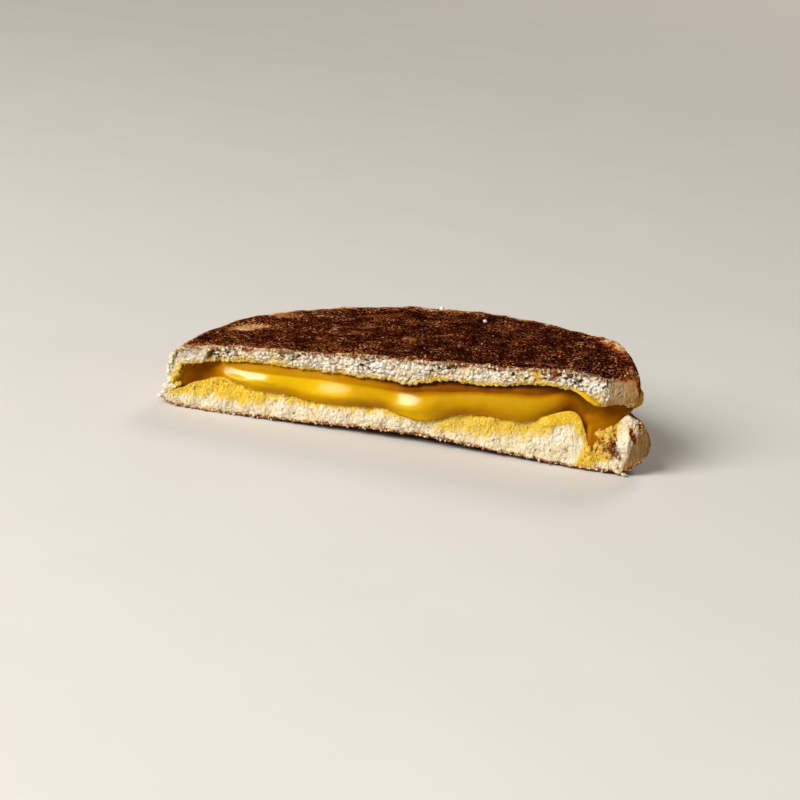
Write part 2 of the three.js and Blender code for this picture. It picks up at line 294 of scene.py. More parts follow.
def rim_height(rim, u):
    return rim.level + rim.tilt * u + rim.bow * u * u


def round_over(rho, edge):
    """1 over the slice, falling round to 0 on the rim: the root of 1 - rho^edge."""
    return np.sqrt(np.maximum(0, 1 - np.minimum(rho, 1) ** edge))


def rounded(rho, u, at_cut):
    """The same for a slice of bread, whose edge is sharper or softer at both ends of the cut."""
    left, right = at_cut
    edge = mix(EDGE_BACK, np.where(u < 0, left, right), rise(np.abs(u), CORNER, 1 - CORNER))
    return round_over(rho, edge)


def raised(welt, rho, u):
    return welt.high * hump(rho, welt.rho, welt.wide) * hump(u, welt.at, welt.long)


# ---- heights of the bread ----------------------------------------------------------------
def top_upper(x, back, inset=0.0):
    """Toasted upper face: the line along the cut runs into a gently sloping plane."""
    rho, u = place_on(shrink(TOP_PLAN, inset), x, back)
    behind = bumps(x, TOP_BEHIND) + wavy(x, back, TOP_WAVES)
    flat = mix(bumps(x, TOP_EDGE), behind, rise(back, 0, TOP_BLEND))
    flat = flat + raised(RIDGE, rho, u) + wavy(x, back, TOP_RIPPLES) - inset
    return mix(rim_height(TOP_RIM, u), flat, rounded(rho, u, TOP_EDGE_CUT))


def top_lower(x, back, inset=0.0):
    """Soft lower face of the upper slice, with a lip that closes the pocket on the left."""
    rho, u = place_on(shrink(TOP_PLAN, inset), x, back)
    behind = bumps(x, UNDER_BEHIND) - TOP_DROOP * rho ** DRAW_POWER + wavy(x, back, UNDER_WAVES)
    flat = mix(bumps(x, TOP_UNDER), behind, rise(back, 0, TOP_BLEND)) + inset
    sheet = mix(rim_height(TOP_RIM, u), flat, rounded(rho, u, TOP_EDGE_CUT))
    lip = (LIP.high - inset) * hump(rho, LIP.rho, LIP.wide) * fall(u, LIP.at, LIP.long)
    return np.maximum(sheet - lip, base_upper(x, back) + inset)


def base_upper(x, back, inset=0.0):
    """Soft upper face of the lower slice, with a crust that folds up on the right."""
    rho, u = place_on(shrink(BASE_PLAN, inset), x, back)
    behind = bumps(x, BASE_BEHIND) + BASE_LIFT * rho ** DRAW_POWER + wavy(x, back, BASE_WAVES)
    flat = mix(bumps(x, BASE_UPPER), behind + raised(FOLD, rho, u), rise(back, 0, BASE_BLEND)) - inset
    return mix(rim_height(BASE_RIM, u), flat, rounded(rho, u, BASE_EDGE_CUT))


def base_lower(x, back, inset=0.0):
    """Toasted lower face: arched along the cut, dead flat further back."""
    rho, u = place_on(shrink(BASE_PLAN, inset), x, back)
    inner = rounded(rho, u, BASE_EDGE_CUT)
    arch = ARCH * hump(x, ARCH_AT, ARCH_WIDE) * (1 - rise(back, 0, ARCH_BACK))
    lift = mix(rim_height(BASE_RIM, u), 0, inner)
    return np.maximum(0, lift + arch - PRESSED) + inset * inner


# ---- heights of the cheese ---------------------------------------------------------------
def right_recess(x, z):
    """How far the cheese draws back on the right, where it slopes up under the upper slice
    from a ledge in the valley of the lower one."""
    above_ledge = rise(z, LEDGE + LEDGE_SLOPE * (x - LEDGE_AT), LEDGE_FADE)
    sloped = mix(1, above_ledge, rise(x, LEDGE_FROM, LEDGE_OVER))
    return RECESS * rise(x, RECESS_FROM, RECESS_OVER) * sloped


def cheese_start(x):
    """Where the cheese begins behind the cut, with a little to spare, so that its ends stay
    rounded instead of running out into thin sheets."""
    spare = mix(0.15, 1.0, rise(x, 40, 5))
    return bumps(x, POCKET) + right_recess(x, END_HEIGHT) + spare


def cheese_upper(x, back):
    """The ribbon's own height at the cut, from there up to the upper slice, which it bites."""
    rho, u = place_on(CHEESE_PLAN, x, back)
    touch = top_lower(x, back) - BITE
    ribbon = np.minimum(bumps(x, RIBBON_TOP), touch)
    reach = mix(2.2, 5.0, rise(x, -20, 25))
    flat = mix(ribbon, touch, ease(back / reach))
    return mix(rim_height(CHEESE_RIM, u), flat, round_over(rho, CHEESE_EDGE))


def cheese_lower(x, back):
    rho, u = place_on(CHEESE_PLAN, x, back)
    return mix(rim_height(CHEESE_RIM, u), base_upper(x, back) + BITE, round_over(rho, CHEESE_EDGE))


# ---- meshes ------------------------------------------------------------------------------
def add_mesh(name, points, quads, triangles, marks):
    """A mesh object from points in millimetres, quads, triangles and named point values."""
    mesh = bpy.data.meshes.new(name)
    mesh.vertices.add(len(points))
    mesh.vertices.foreach_set("co", (points * MM).astype(np.float32).ravel())
    corners = np.concatenate([quads.ravel(), triangles.ravel()])
    sizes = np.concatenate([np.full(len(quads), 4), np.full(len(triangles), 3)])
    mesh.loops.add(len(corners))
    mesh.loops.foreach_set("vertex_index", corners.astype(np.int32))
    mesh.polygons.add(len(sizes))
    starts = np.concatenate([[0], np.cumsum(sizes)[:-1]])
    mesh.polygons.foreach_set("loop_start", starts.astype(np.int32))
    mesh.polygons.foreach_set("use_smooth", np.ones(len(sizes), dtype=bool))
    for mark, values in marks.items():
        layer = mesh.attributes.new(mark, "FLOAT", "POINT")
        layer.data.foreach_set("value", values.astype(np.float32).ravel())
    mesh.update(calc_edges=True)
    mesh.validate()
    piece = bpy.data.objects.new(name, mesh)
    bpy.context.scene.collection.objects.link(piece)
    return piece


def side_by_side(strips):
    """Joins strips of a body, each given as its x, back, height and more, into whole rings."""
    full = [np.broadcast_arrays(*strip) for strip in strips]
    return [np.concatenate(column, axis=1) for column in zip(*full)]


def tube_faces(rings, around):
    """Faces of a closed body: quads join each ring of points to the next, and a fan to one more
    point closes each end. Those two points come after all the rings."""
    index = np.arange(rings * around).reshape(rings, around)
    beside = np.roll(index, -1, 1)
    quads = np.stack([index[:-1], index[1:], beside[1:], beside[:-1]], axis=-1)
    first = np.full(around, rings * around)
    head = np.stack([first, index[0], beside[0]], axis=-1)
    tail = np.stack([first + 1, beside[-1], index[-1]], axis=-1)
    return quads.reshape(-1, 4), np.concatenate([head, tail])


def loft(name, rings, marks):
    """Closed body through rings of points (stations, points round, 3), closed at the middle
    points of the first and last ring."""
    ends = np.stack([rings[0].mean(0), rings[-1].mean(0)])
    points = np.concatenate([rings.reshape(-1, 3), ends])
    values = {}
    for mark, value in marks.items():
        closing = [value[0].mean(), value[-1].mean()]
        values[mark] = np.concatenate([value.ravel(), closing])
    return add_mesh(name, points, *tube_faces(*rings.shape[:2]), values)


def outward(rings):
    """Unit normals of a lofted body: the step to the next station crossed with the step round
    the ring."""
    along = np.gradient(rings, axis=0)
    around = np.roll(rings, -1, 1) - np.roll(rings, 1, 1)
    normal = np.cross(along, around)
    return normal / np.maximum(np.linalg.norm(normal, axis=-1, keepdims=True), 1e-9)


def stations_of(plan, count, start=None):
    """Places along the cut, even along the round outline, so closer together at both ends. Where
    a start is given, only where the plan is deeper than that."""
    left, right = plan.left, plan.right
    if start is not None:
        fine = np.linspace(plan.middle - left, plan.middle + right, 20001)
        deep = fine[depth_at(plan, fine) > start(fine)]
        left, right = plan.middle - deep[0], deep[-1] - plan.middle
    s = np.sin(np.linspace(-1, 1, count + 2)[1:-1] * math.pi / 2)
    return plan.middle + np.where(s < 0, left, right) * s


def to_part(rings):
    """From the shape's own x and back to places in the part."""
    return np.stack([rings[..., 0] + OFFSET, rings[..., 1] + CUT_Y, rings[..., 2]], axis=-1)


def end_turn(turn, x, back):
    """How far the cut has turned away to the side at its ends."""
    away = turn.right_share * np.maximum(x - turn.right, 0) + turn.left_share * np.maximum(turn.left - x, 0)
    return away * np.exp(-back / TURN_FADE)


# ---- torn crumb --------------------------------------------------------------------------
CRUMB_STATIONS, CRUST_STATIONS, CHEESE_STATIONS = 900, 540, 520     # rings of each body
DENT, DENT_SIZE = 0.35, 5.5     # depth of the torn dents in a cut, and their size
DENTS_END = 8.0                 # they fade out over this length at both ends
SMALL_GRAIN = 0.46              # size of the small lumps between the grains of crumb
DOME, DOME_FLOOR = 0.75, -0.2   # radius of a lump in cells, and its lowest value
BARE, BARE_FADE = 2.0, 3.0      # behind the cut, relief keeps its strength up to here, then fades
HIDDEN_RELIEF = 0.12            # and this share of it is left further back

# a slice: its shape, how its cut turns away at its ends, the way its toasted face looks (1 up,
# -1 down), its own seed, the size of its grains of crumb, how flat they are pressed, how lumpy
# and how open the crumb is, and how much relief it loses where it is skin and where cheese
# soaked in
Slice = namedtuple("Slice", "name plan upper lower turn toast_side seed grain press lumps pores "
                            "skin_loss stain_loss")
TOP = Slice("top", TOP_PLAN, top_upper, top_lower, TOP_TURN, 1, seed=3, grain=1.0, press=1.1,
            lumps=1.2, pores=0.5, skin_loss=0.85, stain_loss=0.6)
BASE = Slice("base", BASE_PLAN, base_upper, base_lower, BASE_TURN, -1, seed=8, grain=0.8, press=0.6,
             lumps=0.42, pores=0.05, skin_loss=0.6, stain_loss=0.3)


def dented(p, t, seed):
    """Large torn dents of the cut face, deepest at its brims, none at the very ends."""
    ends = fall(np.abs(p[..., 0]), WIDTH / 2, DENTS_END)
    dents = DENT + 0.3 * crag(p[..., 0], p[..., 2], DENT_SIZE, seed) + 0.5 * layered(p, 4.0, 11, 2)
    brim = DENT * (1 - np.sin(math.pi * np.clip(t, 0, 1)))
    return np.maximum(0, dents + brim) * ends


def crumb_relief(p, t, kind):
    """Height of torn crumb, and painted shade in its pits, pinpricks and creases. Space is bent by
    noise and cut into cells of two sizes. Over each cell stands a dome, one less the square of the
    distance from its point, so that lumps meet in creases. Where a large cell's own number is
    below the chance of a pore, the dome is left out and a pit remains; the small cells make
    pinpricks in the same way."""
    grain = kind.grain
    squeezed = p * (1.0, 1.0, kind.press)
    bend = [smooth_noise(squeezed, grain * 1.7, kind.seed + k) for k in range(3)]
    bent = squeezed + 0.4 * grain * np.stack(bend, axis=-1)
    far, gap, own = nearest_cells(bent, grain, kind.seed + 10)
    small_far, small_gap, small_own = nearest_cells(bent + 5.0, grain * SMALL_GRAIN, kind.seed + 20)
    patchy = 0.5 + smooth_noise(p, 5.0, kind.seed + 30)
    chance = kind.pores * mix(0.25, 1.5, t) * np.clip(patchy, 0.1, 1.5)
    pit = fall(own, chance - 0.08, 0.04) * rise(gap, 0, 0.2)
    pinprick = fall(small_own, 0.7 * chance + 0.05, 0.05) * rise(small_gap, 0, 0.2)
    domes = np.maximum(1 - (far / DOME) ** 2, DOME_FLOOR) * (0.3 + own)
    small = np.maximum(1 - (small_far / DOME) ** 2, DOME_FLOOR)
    height = kind.lumps * (0.6 * domes + 0.26 * small - 0.35)
    height = height + 0.35 * layered(p, grain * 2.4, kind.seed + 40)
    height = mix(height, -1.0, pit * kind.lumps) - 0.35 * pinprick * (1 - pit)
    # painted shade in the creases between lumps
    creases = 0.36 * (1 - rise(gap, 0, 0.25)) + 0.14 * (1 - rise(small_gap, 0, 0.3))
    painted_shade = np.maximum(np.maximum(pit, 0.9 * pinprick), kind.lumps * creases)
    return height, np.clip(painted_shade, 0, 1)


def crumb_rings(kind, front_rows):
    """Rings of the crumb body: up the cut face, back under the crust and forward again. It is
    tucked in behind the crust and bare on the side that faces the cheese. The second array runs
    from 0 at the foot of the cut to 1 at its top."""
    plan = shrink(kind.plan, TUCK)
    x = stations_of(plan, CRUMB_STATIONS)[:, None]
    deep = depth_at(plan, x)

    def tucked(height, side, px, pb):
        """A face's height: tucked in all over if it is toasted, or else only near the rim."""
        bare = TUCK if side == kind.toast_side else 0.0
        return height(px, pb, mix(bare, TUCK, rise(spread(plan, px, pb), 0.88, 0.05)))

    t = np.linspace(0, 1, front_rows + 1)[None, :-1]
    low, high = tucked(kind.lower, -1, x, 0), tucked(kind.upper, 1, x, 0)
    fine = np.concatenate([0.07 * np.linspace(0, 1, 14) ** 1.3, np.linspace(0.1, 1, 10)])
    rough = np.concatenate([[0, 0.01, 0.03], np.linspace(0.1, 1, 10)])
    up_steps, low_steps = (rough, fine) if kind.toast_side > 0 else (fine, rough)
    up = up_steps[None, :] * deep
    down = low_steps[None, ::-1][:, 1:-1] * deep
    px, pb, pz, pt = side_by_side([
        (x, 0.0, mix(low, high, t), t),
        (x, up, tucked(kind.upper, 1, x, up), 1.0),
        (x, down, tucked(kind.lower, -1, x, down), 0.0)])
    rings = np.stack([px, pb, pz], axis=-1)
    torn = dented(rings, pt, kind.seed / 2) * np.exp(-pb / FRONT_FADE)
    rings[..., 1] += torn + end_turn(kind.turn, px, pb)
    return rings, pt


# ---- what happened to the cut ------------------------------------------------------------
# cheese that got onto the cut of the upper slice: x, height, half length, half height, turn
YELLOW_STREAKS = [(29.3, 23.0, 1.7, 0.6, 0.0), (29.9, 21.4, 1.0, 1.3, 0.3)]
# tunnels baked into it: x, height, half length, half height
TUNNELS = [(-49.7, 13.6, 0.8, 1.5), (1.2, 20.7, 1.0, 0.8), (11.5, 21.2, 1.1, 0.7)]
TUNNEL_DEPTH = 1.5
# the right end of the lower slice, from left to right: a lump under a film of cheese, a crease
# that leans over to the right, a smooth flap beside it, and the skin of the folded crust
FILM_FROM, FILM_TO, FILM_REACH = 31.5, 43.6, 3.6
CREASE, CREASE_WIDE, LEAN = 45.6, 1.9, 0.25
CREASE_FOOT = (48.5, 4.5, 2.4, 1.8)
SEAM = 50.3
FLAP_FROM, FLAP_TO, FLAP_FOOT = 50.6, 54.9, 5.6
FOLD_FROM = 54.6
# browned places there: x, height, half length, half width, turn, amount
SCORCHES = [(50.4, 7.2, 1.3, 0.9, -1.0, 1.0), (49.2, 8.9, 0.9, 0.6, 0.4, 0.8),
            (52.3, 5.2, 0.8, 0.5, -0.7, 0.6), (55.1, 10.4, 2.6, 0.62, -1.1, 1.15),
            (56.4, 13.0, 1.5, 0.45, -1.3, 1.0), (50.0, 11.2, 1.0, 0.6, 0.3, 0.45),
            (59.6, 3.0, 1.2, 0.5, -1.2, 0.5), (46.6, 10.4, 1.2, 0.5, 1.1, 0.45)]


def cheese_stain(kind, rings):
    """How far melted cheese has soaked in: full on the face towards the cheese, fading down
    the cut over a ragged millimetre or more, and streaked downwards on the lower slice."""
    x, back, z = np.moveaxis(rings, -1, 0)
    ragged = 0.8 * layered(rings, 2.6, 90 + kind.seed) + 0.7 * layered(rings, 0.8, 95)
    if kind.toast_side > 0:
        away = z - kind.lower(x, 0)
        soaked = 0.68 * fall(away, 1.8 + ragged, 2.4) * rise(x, -58, 3)
        for streak in YELLOW_STREAKS:
            soaked = np.maximum(soaked, np.clip(0.8 * patch(x, z, *streak) + 0.3 * ragged, 0, 0.6))
    else:
        away = kind.upper(x, 0) - z
        streaks = layered(rings * (1.0, 1.0, 0.25), 0.9, 97, 2)
        reach = bumps(x, SOAKED_REACH)
        soaked = fall(away, reach + 1.4 + 0.8 * ragged + 1.6 * streaks, 5.0)
        tint = mix(0.08, 0.5, rise(x, 3, 8)) * fall(away, reach + 4.0 + 2 * streaks, 4)
        crease = hump(x, CREASE + LEAN * (z - 6), CREASE_WIDE) + 0.8 * patch(x, z, *CREASE_FOOT)
        soaked = np.maximum(np.maximum(soaked, tint), np.clip(crease, 0, 1))
        soaked = np.maximum(soaked * (1 - 0.95 * rise(x, SEAM, 2.2)) * rise(x, -61, 5), 0.12)
    return np.clip(np.maximum(soaked, rise(back, 2.2, 2.0)), 0, 1)


def smooth_skin(kind, rings):
    """Where the cut is not torn crumb but the close skin of the crust: both ends of the upper
    slice and the fold at the right end of the lower one."""
    x, _, z = np.moveaxis(rings, -1, 0)
    if kind.toast_side > 0:
        return np.maximum(0.8 * fall(x, -50.0, 1.2), 0.85 * rise(x, 46.3, 2.5))
    return rise(x, FOLD_FROM + LEAN * (z - 8), 1.2)


def singed(kind, rings):
    """Browning that creeps from the crust into the crumb along the cut, and brown fibres at the
    right end of the upper slice."""
    x, _, z = np.moveaxis(rings, -1, 0)
    ragged = 0.6 * layered(rings, 1.6, 120 + kind.seed) + 0.45 * layered(rings, 0.6, 125)
    if kind.toast_side > 0:
        deeper = np.clip(0.95 * (x - 48.8), 0, 2.4) + bumps(x, SINGED_DEEPER)
        away = kind.upper(x, 0) - z - deeper
        fibres = np.clip(0.6 + 1.4 * layered(rings * (1.6, 1.0, 0.3), 0.9, 127, 2), 0, 1)
        below = fall(z, kind.lower(x, 0) + 2.6 + ragged, 2.2)
        tan = (0.14 + 0.4 * below) * hump(x, 48.6, 2.6)
        fibrous = np.maximum(0.55 * rise(x, 50.6, 1.5) * fibres, tan)
    else:
        away = z - kind.lower(x, 0)
        fibrous = 0
    return np.maximum(0.9 * fall(away, 1.3 + ragged, 1.5), fibrous)


def bake_tunnels(rings, marks):
    """Opens and browns the tunnels of the upper slice and paints shade in them. Returns how far
    they are pushed in.
    """
    x, _, z = np.moveaxis(rings, -1, 0)
    push = 0
    for tunnel in TUNNELS:
        sunk = patch(x, z, *tunnel)
        push = push + TUNNEL_DEPTH * sunk
        marks["painted_shade"] = np.maximum(marks["painted_shade"], ease(1.6 * sunk))
        marks["toast"] = np.maximum(marks["toast"], 0.45 * sunk)
    return push


def shape_right_end(kind, rings, marks):
    """Film, flap, scorched places and pleats at the right end of the lower slice, with painted
    shade on the cheesy crumb right of the seam behind the cut and along the top of the film, and
    little on the flap. Returns how far the cut is pushed in there, and how much of the crumb's
    relief stays."""
    x, back, z = np.moveaxis(rings, -1, 0)
    below = kind.upper(x, 0) - z
    hidden_shade = 0.75 * marks["stain"] * rise(x, SEAM, 1.5) * rise(back, 1.5, 1.5)
    flap = rise(x, FLAP_FROM, 0.7) * fall(x, FLAP_TO, 0.8) * rise(z, FLAP_FOOT, 0.9)
    sag = FILM_REACH + 0.9 * layered(rings, 1.5, 148, 2)
    film = rise(x, FILM_FROM, 2) * fall(x, FILM_TO, 1.5) * fall(below, sag, 1.2)
    painted_shade = np.maximum(marks["painted_shade"] * (1 - 0.6 * marks["stain"]), hidden_shade)
    marks["painted_shade"] = mix(painted_shade, 0.9 * fall(below, 1.1, 1.1), film) * (1 - 0.9 * flap)
    marks["stain"] = np.maximum(marks["stain"], film)
    uneven = np.clip(1.3 + 0.8 * layered(rings, 0.9, 140, 2), 0, 1.5)
    for *place, amount in SCORCHES:
        marks["toast"] = np.maximum(marks["toast"], amount * patch(x, z, *place) * uneven)
    gap = 0.7 * hump(x, SEAM - 0.1, 0.6) * rise(z, 5, 2)
    pleats = 0.3 * layered(rings * (1.5, 1.0, 0.35), 1.1, 145, 2) * marks["skin"]
    return gap - 0.9 * flap - 0.6 * film - pleats, (1 - 0.6 * flap) * (1 - 0.85 * film)


def crumb_shape(kind, rings, t):
    """Moves the rings by the crumb's relief and gives the marks that its colours follow."""
    x, back, _ = np.moveaxis(rings, -1, 0)
    height, painted_shade = crumb_relief(rings, t, kind)
    marks = {"stain": cheese_stain(kind, rings), "painted_shade": painted_shade, "toast": singed(kind, rings),
             "skin": smooth_skin(kind, rings)}
    bare = np.exp(-np.maximum(back - BARE, 0) / BARE_FADE)
    front = np.exp(-back / FRONT_FADE)
    torn = (1 - kind.skin_loss * marks["skin"]) * (1 - kind.stain_loss * marks["stain"])
    amount = mix(HIDDEN_RELIEF, 1.0, bare) * near_ends(rings, 40) * torn
    # tan of the skin, paler at the left end than at the right end, where the darker tan is partly painted
    # shade
    tan = marks["skin"] * mix(0.2, 1.0, rise(x, 0, 10))
    if kind.toast_side > 0:
        # painted shade, and tan as painted shade, along the upper slice's cheesy fringe next to the cut
        marks["painted_shade"] = np.maximum(painted_shade, 0.62 * marks["stain"])
        push = bake_tunnels(rings, marks)
        tan = np.maximum(tan, 0.5 * marks["stain"] * front)
    else:
        push, stays = shape_right_end(kind, rings, marks)
        amount = amount * stays
    shape = rings + outward(rings) * (height * amount)[..., None]
    foremost = end_turn(kind.turn, x, 0) - 1.1
    shape[..., 1] = np.maximum(shape[..., 1] + push * front, foremost)
    marks["painted_shade"] = marks["painted_shade"] * np.minimum(1, amount * 1.3)
    return shape, {**marks, "toast": np.clip(marks["toast"], 0, 1), "skin": tan}


def crumb_body(kind, front_rows):
    """The soft inside of a slice. Returns its mesh, and the front of the cut with its marks for
    the grains that cling to it."""
    rings, t = crumb_rings(kind, front_rows)
    shape, marks = crumb_shape(kind, rings, t)
    points = to_part(shape)
    front = {mark: value[:, :front_rows] for mark, value in marks.items()}
    return loft(kind.name + "_crumb", points, marks), points[:, :front_rows], front


# ---- the toasted crust -------------------------------------------------------------------
PORE_SIZE, PORE_DEPTH = 1.9, 0.22       # sunk pores of the toasted face
PRICK_SIZE, PRICK_DEPTH = 0.85, 0.11    # and finer ones
PAN_LEVEL, PAN_FLAT = 0.07, 0.75        # the pan pressed its grain level here, by this share
WRAP_TO = 0.952                         # the crust wraps under as far as this spread
# places on the toasted face that stayed lighter (or darker, where the last number is below 0):
# x, back, half length, half width, turn, amount
PALE_SPOTS = [(-42.8, 21.6, 4.2, 2.0, 0.35, 0.5), (-45.8, 18.2, 2.2, 1.1, 0.3, 0.34),
              (-2.8, 18.2, 1.9, 1.1, 0.2, 0.36), (-15.0, 27.0, 4.5, 0.7, 0.1, 0.28),
              (6.2, 23.4, 2.6, 0.5, 0.2, 0.4), (32.0, 4.0, 6.0, 0.5, -0.15, 0.3),
              (-12.0, 40.0, 6.0, 2.4, 0.6, 0.2), (22.0, 35.0, 4.0, 2.0, -0.5, 0.22),
              (-25.0, 12.0, 3.0, 1.2, 0.9, 0.2), (41.0, 14.0, 3.0, 1.4, 0.8, 0.2),
              (-39.0, 38.0, 7.0, 3.0, -0.7, 0.3), (44.5, 1.0, 1.8, 1.4, 0.0, -0.2)]


def crust_relief(p):
    """Height of the toasted face and how deep it is sunk: layered grain cut off level where the
    pan pressed it, sunk pores and finer pricks."""
    far, _, size = nearest_cells(p * (1.0, 1.0, 0.6), PORE_SIZE, 31)
    pits = fall(far, 0.12 + 0.36 * size, 0.16) * rise(size, 0.35, 0.3)
    fine_far, _, fine = nearest_cells(p, PRICK_SIZE, 36)
    pricks = fall(fine_far, 0.12 + 0.30 * fine, 0.16)
    grain = 0.16 * layered(p, 2.6, 33, 3) + 0.10 * layered(p, 0.9, 35, 2)
    face = mix(grain, np.minimum(grain, PAN_LEVEL), PAN_FLAT)
    return face - PORE_DEPTH * pits - PRICK_DEPTH * pricks, np.maximum(pits, 0.7 * pricks)


def crust_shell(kind, rows_out, rows_wrap):
    """The crust of a slice as a closed skin: over the toasted face, round the rim, a little way
    under, and back on the inside, where it follows a slice that is smaller by SKIN. The second
    array is 1 outside and 0 inside."""
    toast, other = (kind.upper, kind.lower)[::kind.toast_side]
    inner = shrink(kind.plan, SKIN)
    x = stations_of(kind.plan, CRUST_STATIONS)[:, None]
    inner_x = np.clip(x, inner.middle - inner.left + 1e-3, inner.middle + inner.right - 1e-3)
    deep, inner_deep = depth_at(kind.plan, x), depth_at(inner, inner_x)
    stop = depth_at(kind.plan, x, WRAP_TO)
    even = np.linspace(0, 1, rows_out)[None, :]
    over = mix(even, 0.5 - 0.5 * np.cos(math.pi * even), 0.45) * deep    # closer at cut and rim
    wrap = mix(deep, stop, np.linspace(0, 1, rows_wrap)[None, 1:] ** 1.6)
    few = np.linspace(0, 1, 10)[None, :]
    inner_wrap = mix(np.minimum(stop, inner_deep), inner_deep, few)
    inner_over = mix(inner_deep, 0, few[:, 1:])
    px, pb, pz, outer = side_by_side([
        (x, over, toast(x, over), 1.0),
        (x, wrap, other(x, wrap), 1.0),
        (inner_x, inner_wrap, other(inner_x, inner_wrap, SKIN), 0.0),
        (inner_x, inner_over, toast(inner_x, inner_over, SKIN), 0.0)])
    rings = np.stack([px, pb, pz], axis=-1)
    return rings[:, ::kind.toast_side], outer[:, ::kind.toast_side]


def curl(rings):
    """1 along the part of the upper crust that curls up and stayed golden, fading out."""
    rho, u = place_on(TOP_PLAN, rings[..., 0], rings[..., 1])
    line = CURL.rho + CURL_SLOPE * (u - CURL.at)
    return hump(rho, line, CURL.wide) * hump(u, CURL.at, CURL.long)


def toast_amount(kind, rings, facing, sunk):
    """How brown the crust is: dark where the face was pressed to the pan, golden in streaks
    along the rim and the cut, the band on the rim partly a painted highlight, and pale with soft
    brown blotches on the side, darker at the right end, on the lower crust as painted shade. The
    second array is 1 on the pressed face and 0 on the side."""
    x, back, z = np.moveaxis(rings, -1, 0)
    flat = rise(facing, 0.25, 0.6)
    fine = layered(rings, 1.6, 55, 3)
    streaks = np.abs(layered(rings * (0.35, 1.0, 1.0), 1.3, 57, 3))
    soft = rise(layered(rings, 7.0, 58, 3), -0.15, 0.6)
    burnt = rise(layered(rings, 4.0, 61, 3), 0.38, 0.2)
    rho, u = place_on(kind.plan, x, back)
    corner = rise(x, 44, 5) * hump(back, 0, 9)
    # the side darker at the right end: near the cut's corner high up on the upper crust, and as painted
    # shade where the lower crust turns away on the right
    if kind.toast_side > 0:
        dark_end = 0.5 * corner * rise(z, 18.5, 2.5)
    else:
        dark_end = 0.34 * rise(u, 0.88, 0.08)
    side = 0.16 + 0.2 * soft + 0.4 * burnt + 0.06 * fine + dark_end
    face = 1.04 + 0.15 * np.clip(x / 50, -1, 0.4) + 0.17 * layered(rings, 9.0, 51, 3)
    face = face + 0.13 * fine - 0.08 * sunk
    by_cut = (0.22 + 0.6 * streaks) * hump(back, 0, 2.6)
    # paler streaks and band on the rim: partly less toasted, partly painted highlight of the edge
    by_rim = (0.06 + 1.3 * streaks) * rise(rho, 0.8 + 0.12 * u * u, 0.1)
    on_rim = 0.34 * rise(rho, 0.86 + 0.06 * u * u, 0.05)
    face = face - (by_cut + by_rim + on_rim) * (1 - 0.85 * corner)
    smooth = 0
    if kind.toast_side > 0:
        for *place, amount in PALE_SPOTS:
            near = patch(x, back, *place)
            face = face - 1.15 * amount * ease(near * 2.2 + 0.9 * fine * near)
            smooth = np.maximum(smooth, ease(2 * near) * ease(amount / 0.3))
        curled = curl(rings)
        face = face - 0.85 * curled * (0.9 + fine)
        smooth = np.maximum(smooth, curled)
    return np.clip(mix(side, face, flat), 0, 1), flat * (1 - 0.7 * smooth)


def crust_body(kind, rows_out, rows_wrap):
    """The toasted skin of a slice with its relief and browning, ragged where it meets the cut."""
    rings, outer = crust_shell(kind, rows_out, rows_wrap)
    normal = outward(rings)
    up = normal[..., 2] * kind.toast_side
    facing = rise(up, 0.3, 0.5)
    ends = near_ends(rings, 12)
    height, sunk = crust_relief(rings)
    pleats = 0.16 * layered(rings * (0.5, 0.5, 1.6), 2.4, 66, 3)
    relief = mix(pleats, height, facing) * outer * ends
    if kind.toast_side > 0:
        relief = relief + CURL.high * curl(rings) * outer * np.abs(layered(rings, 2.0, 68, 3))
    else:
        relief = relief * (1 - facing)      # the underside stays flat
    shape = rings + normal * relief[..., None]
    rag = 0.55 * layered(rings * (1.0, 1.0, 0.7), 1.5, 71, 3) + 0.1
    torn = dented(rings, 1.0, kind.seed / 2) + rag * ends
    at_cut = 1 - rise(rings[..., 1], 0, 0.7)
    shape[..., 1] += torn * at_cut + end_turn(kind.turn, rings[..., 0], rings[..., 1])
    toast, pressed = toast_amount(kind, rings, up, sunk)
    marks = {"toast": toast * mix(0.45, 1.0, outer), "pressed": pressed * outer}
    return loft(kind.name + "_crust", to_part(shape), marks)


# ---- the melted cheese -------------------------------------------------------------------
FACE_ROWS = 36                          # rows of points up the visible face
RUN_FROM, RUN_TO, RUN_FADE = -49, 40, 7     # the swollen ribbon runs between these places
SECTION, SECTION_POWER = (0.05, 0.92), 0.75     # part of a half wave that its section follows
FOOT_POWER, DRAW_BACK_POWER = 7, 5      # how low the hanging foot and how high the drawing back
SHADE_DARKEST_AT = 0.94                       # share of its height where its painted shade under the upper slice is darkest
# painted light, a paler colour, in the hollow on the left and on the right: x, height, half length, half
# height
LEFT_PAINTED_LIGHT, RIGHT_PAINTED_LIGHT = (-55.5, 8.5, 2.4, 4.5), (43.0, 13.2, 2.0, 3.8)
DRIP_STEPS, DRIP_AROUND = 30, 18
DRIP_WET, DRIP_ROUGH = 0.3, 0.35


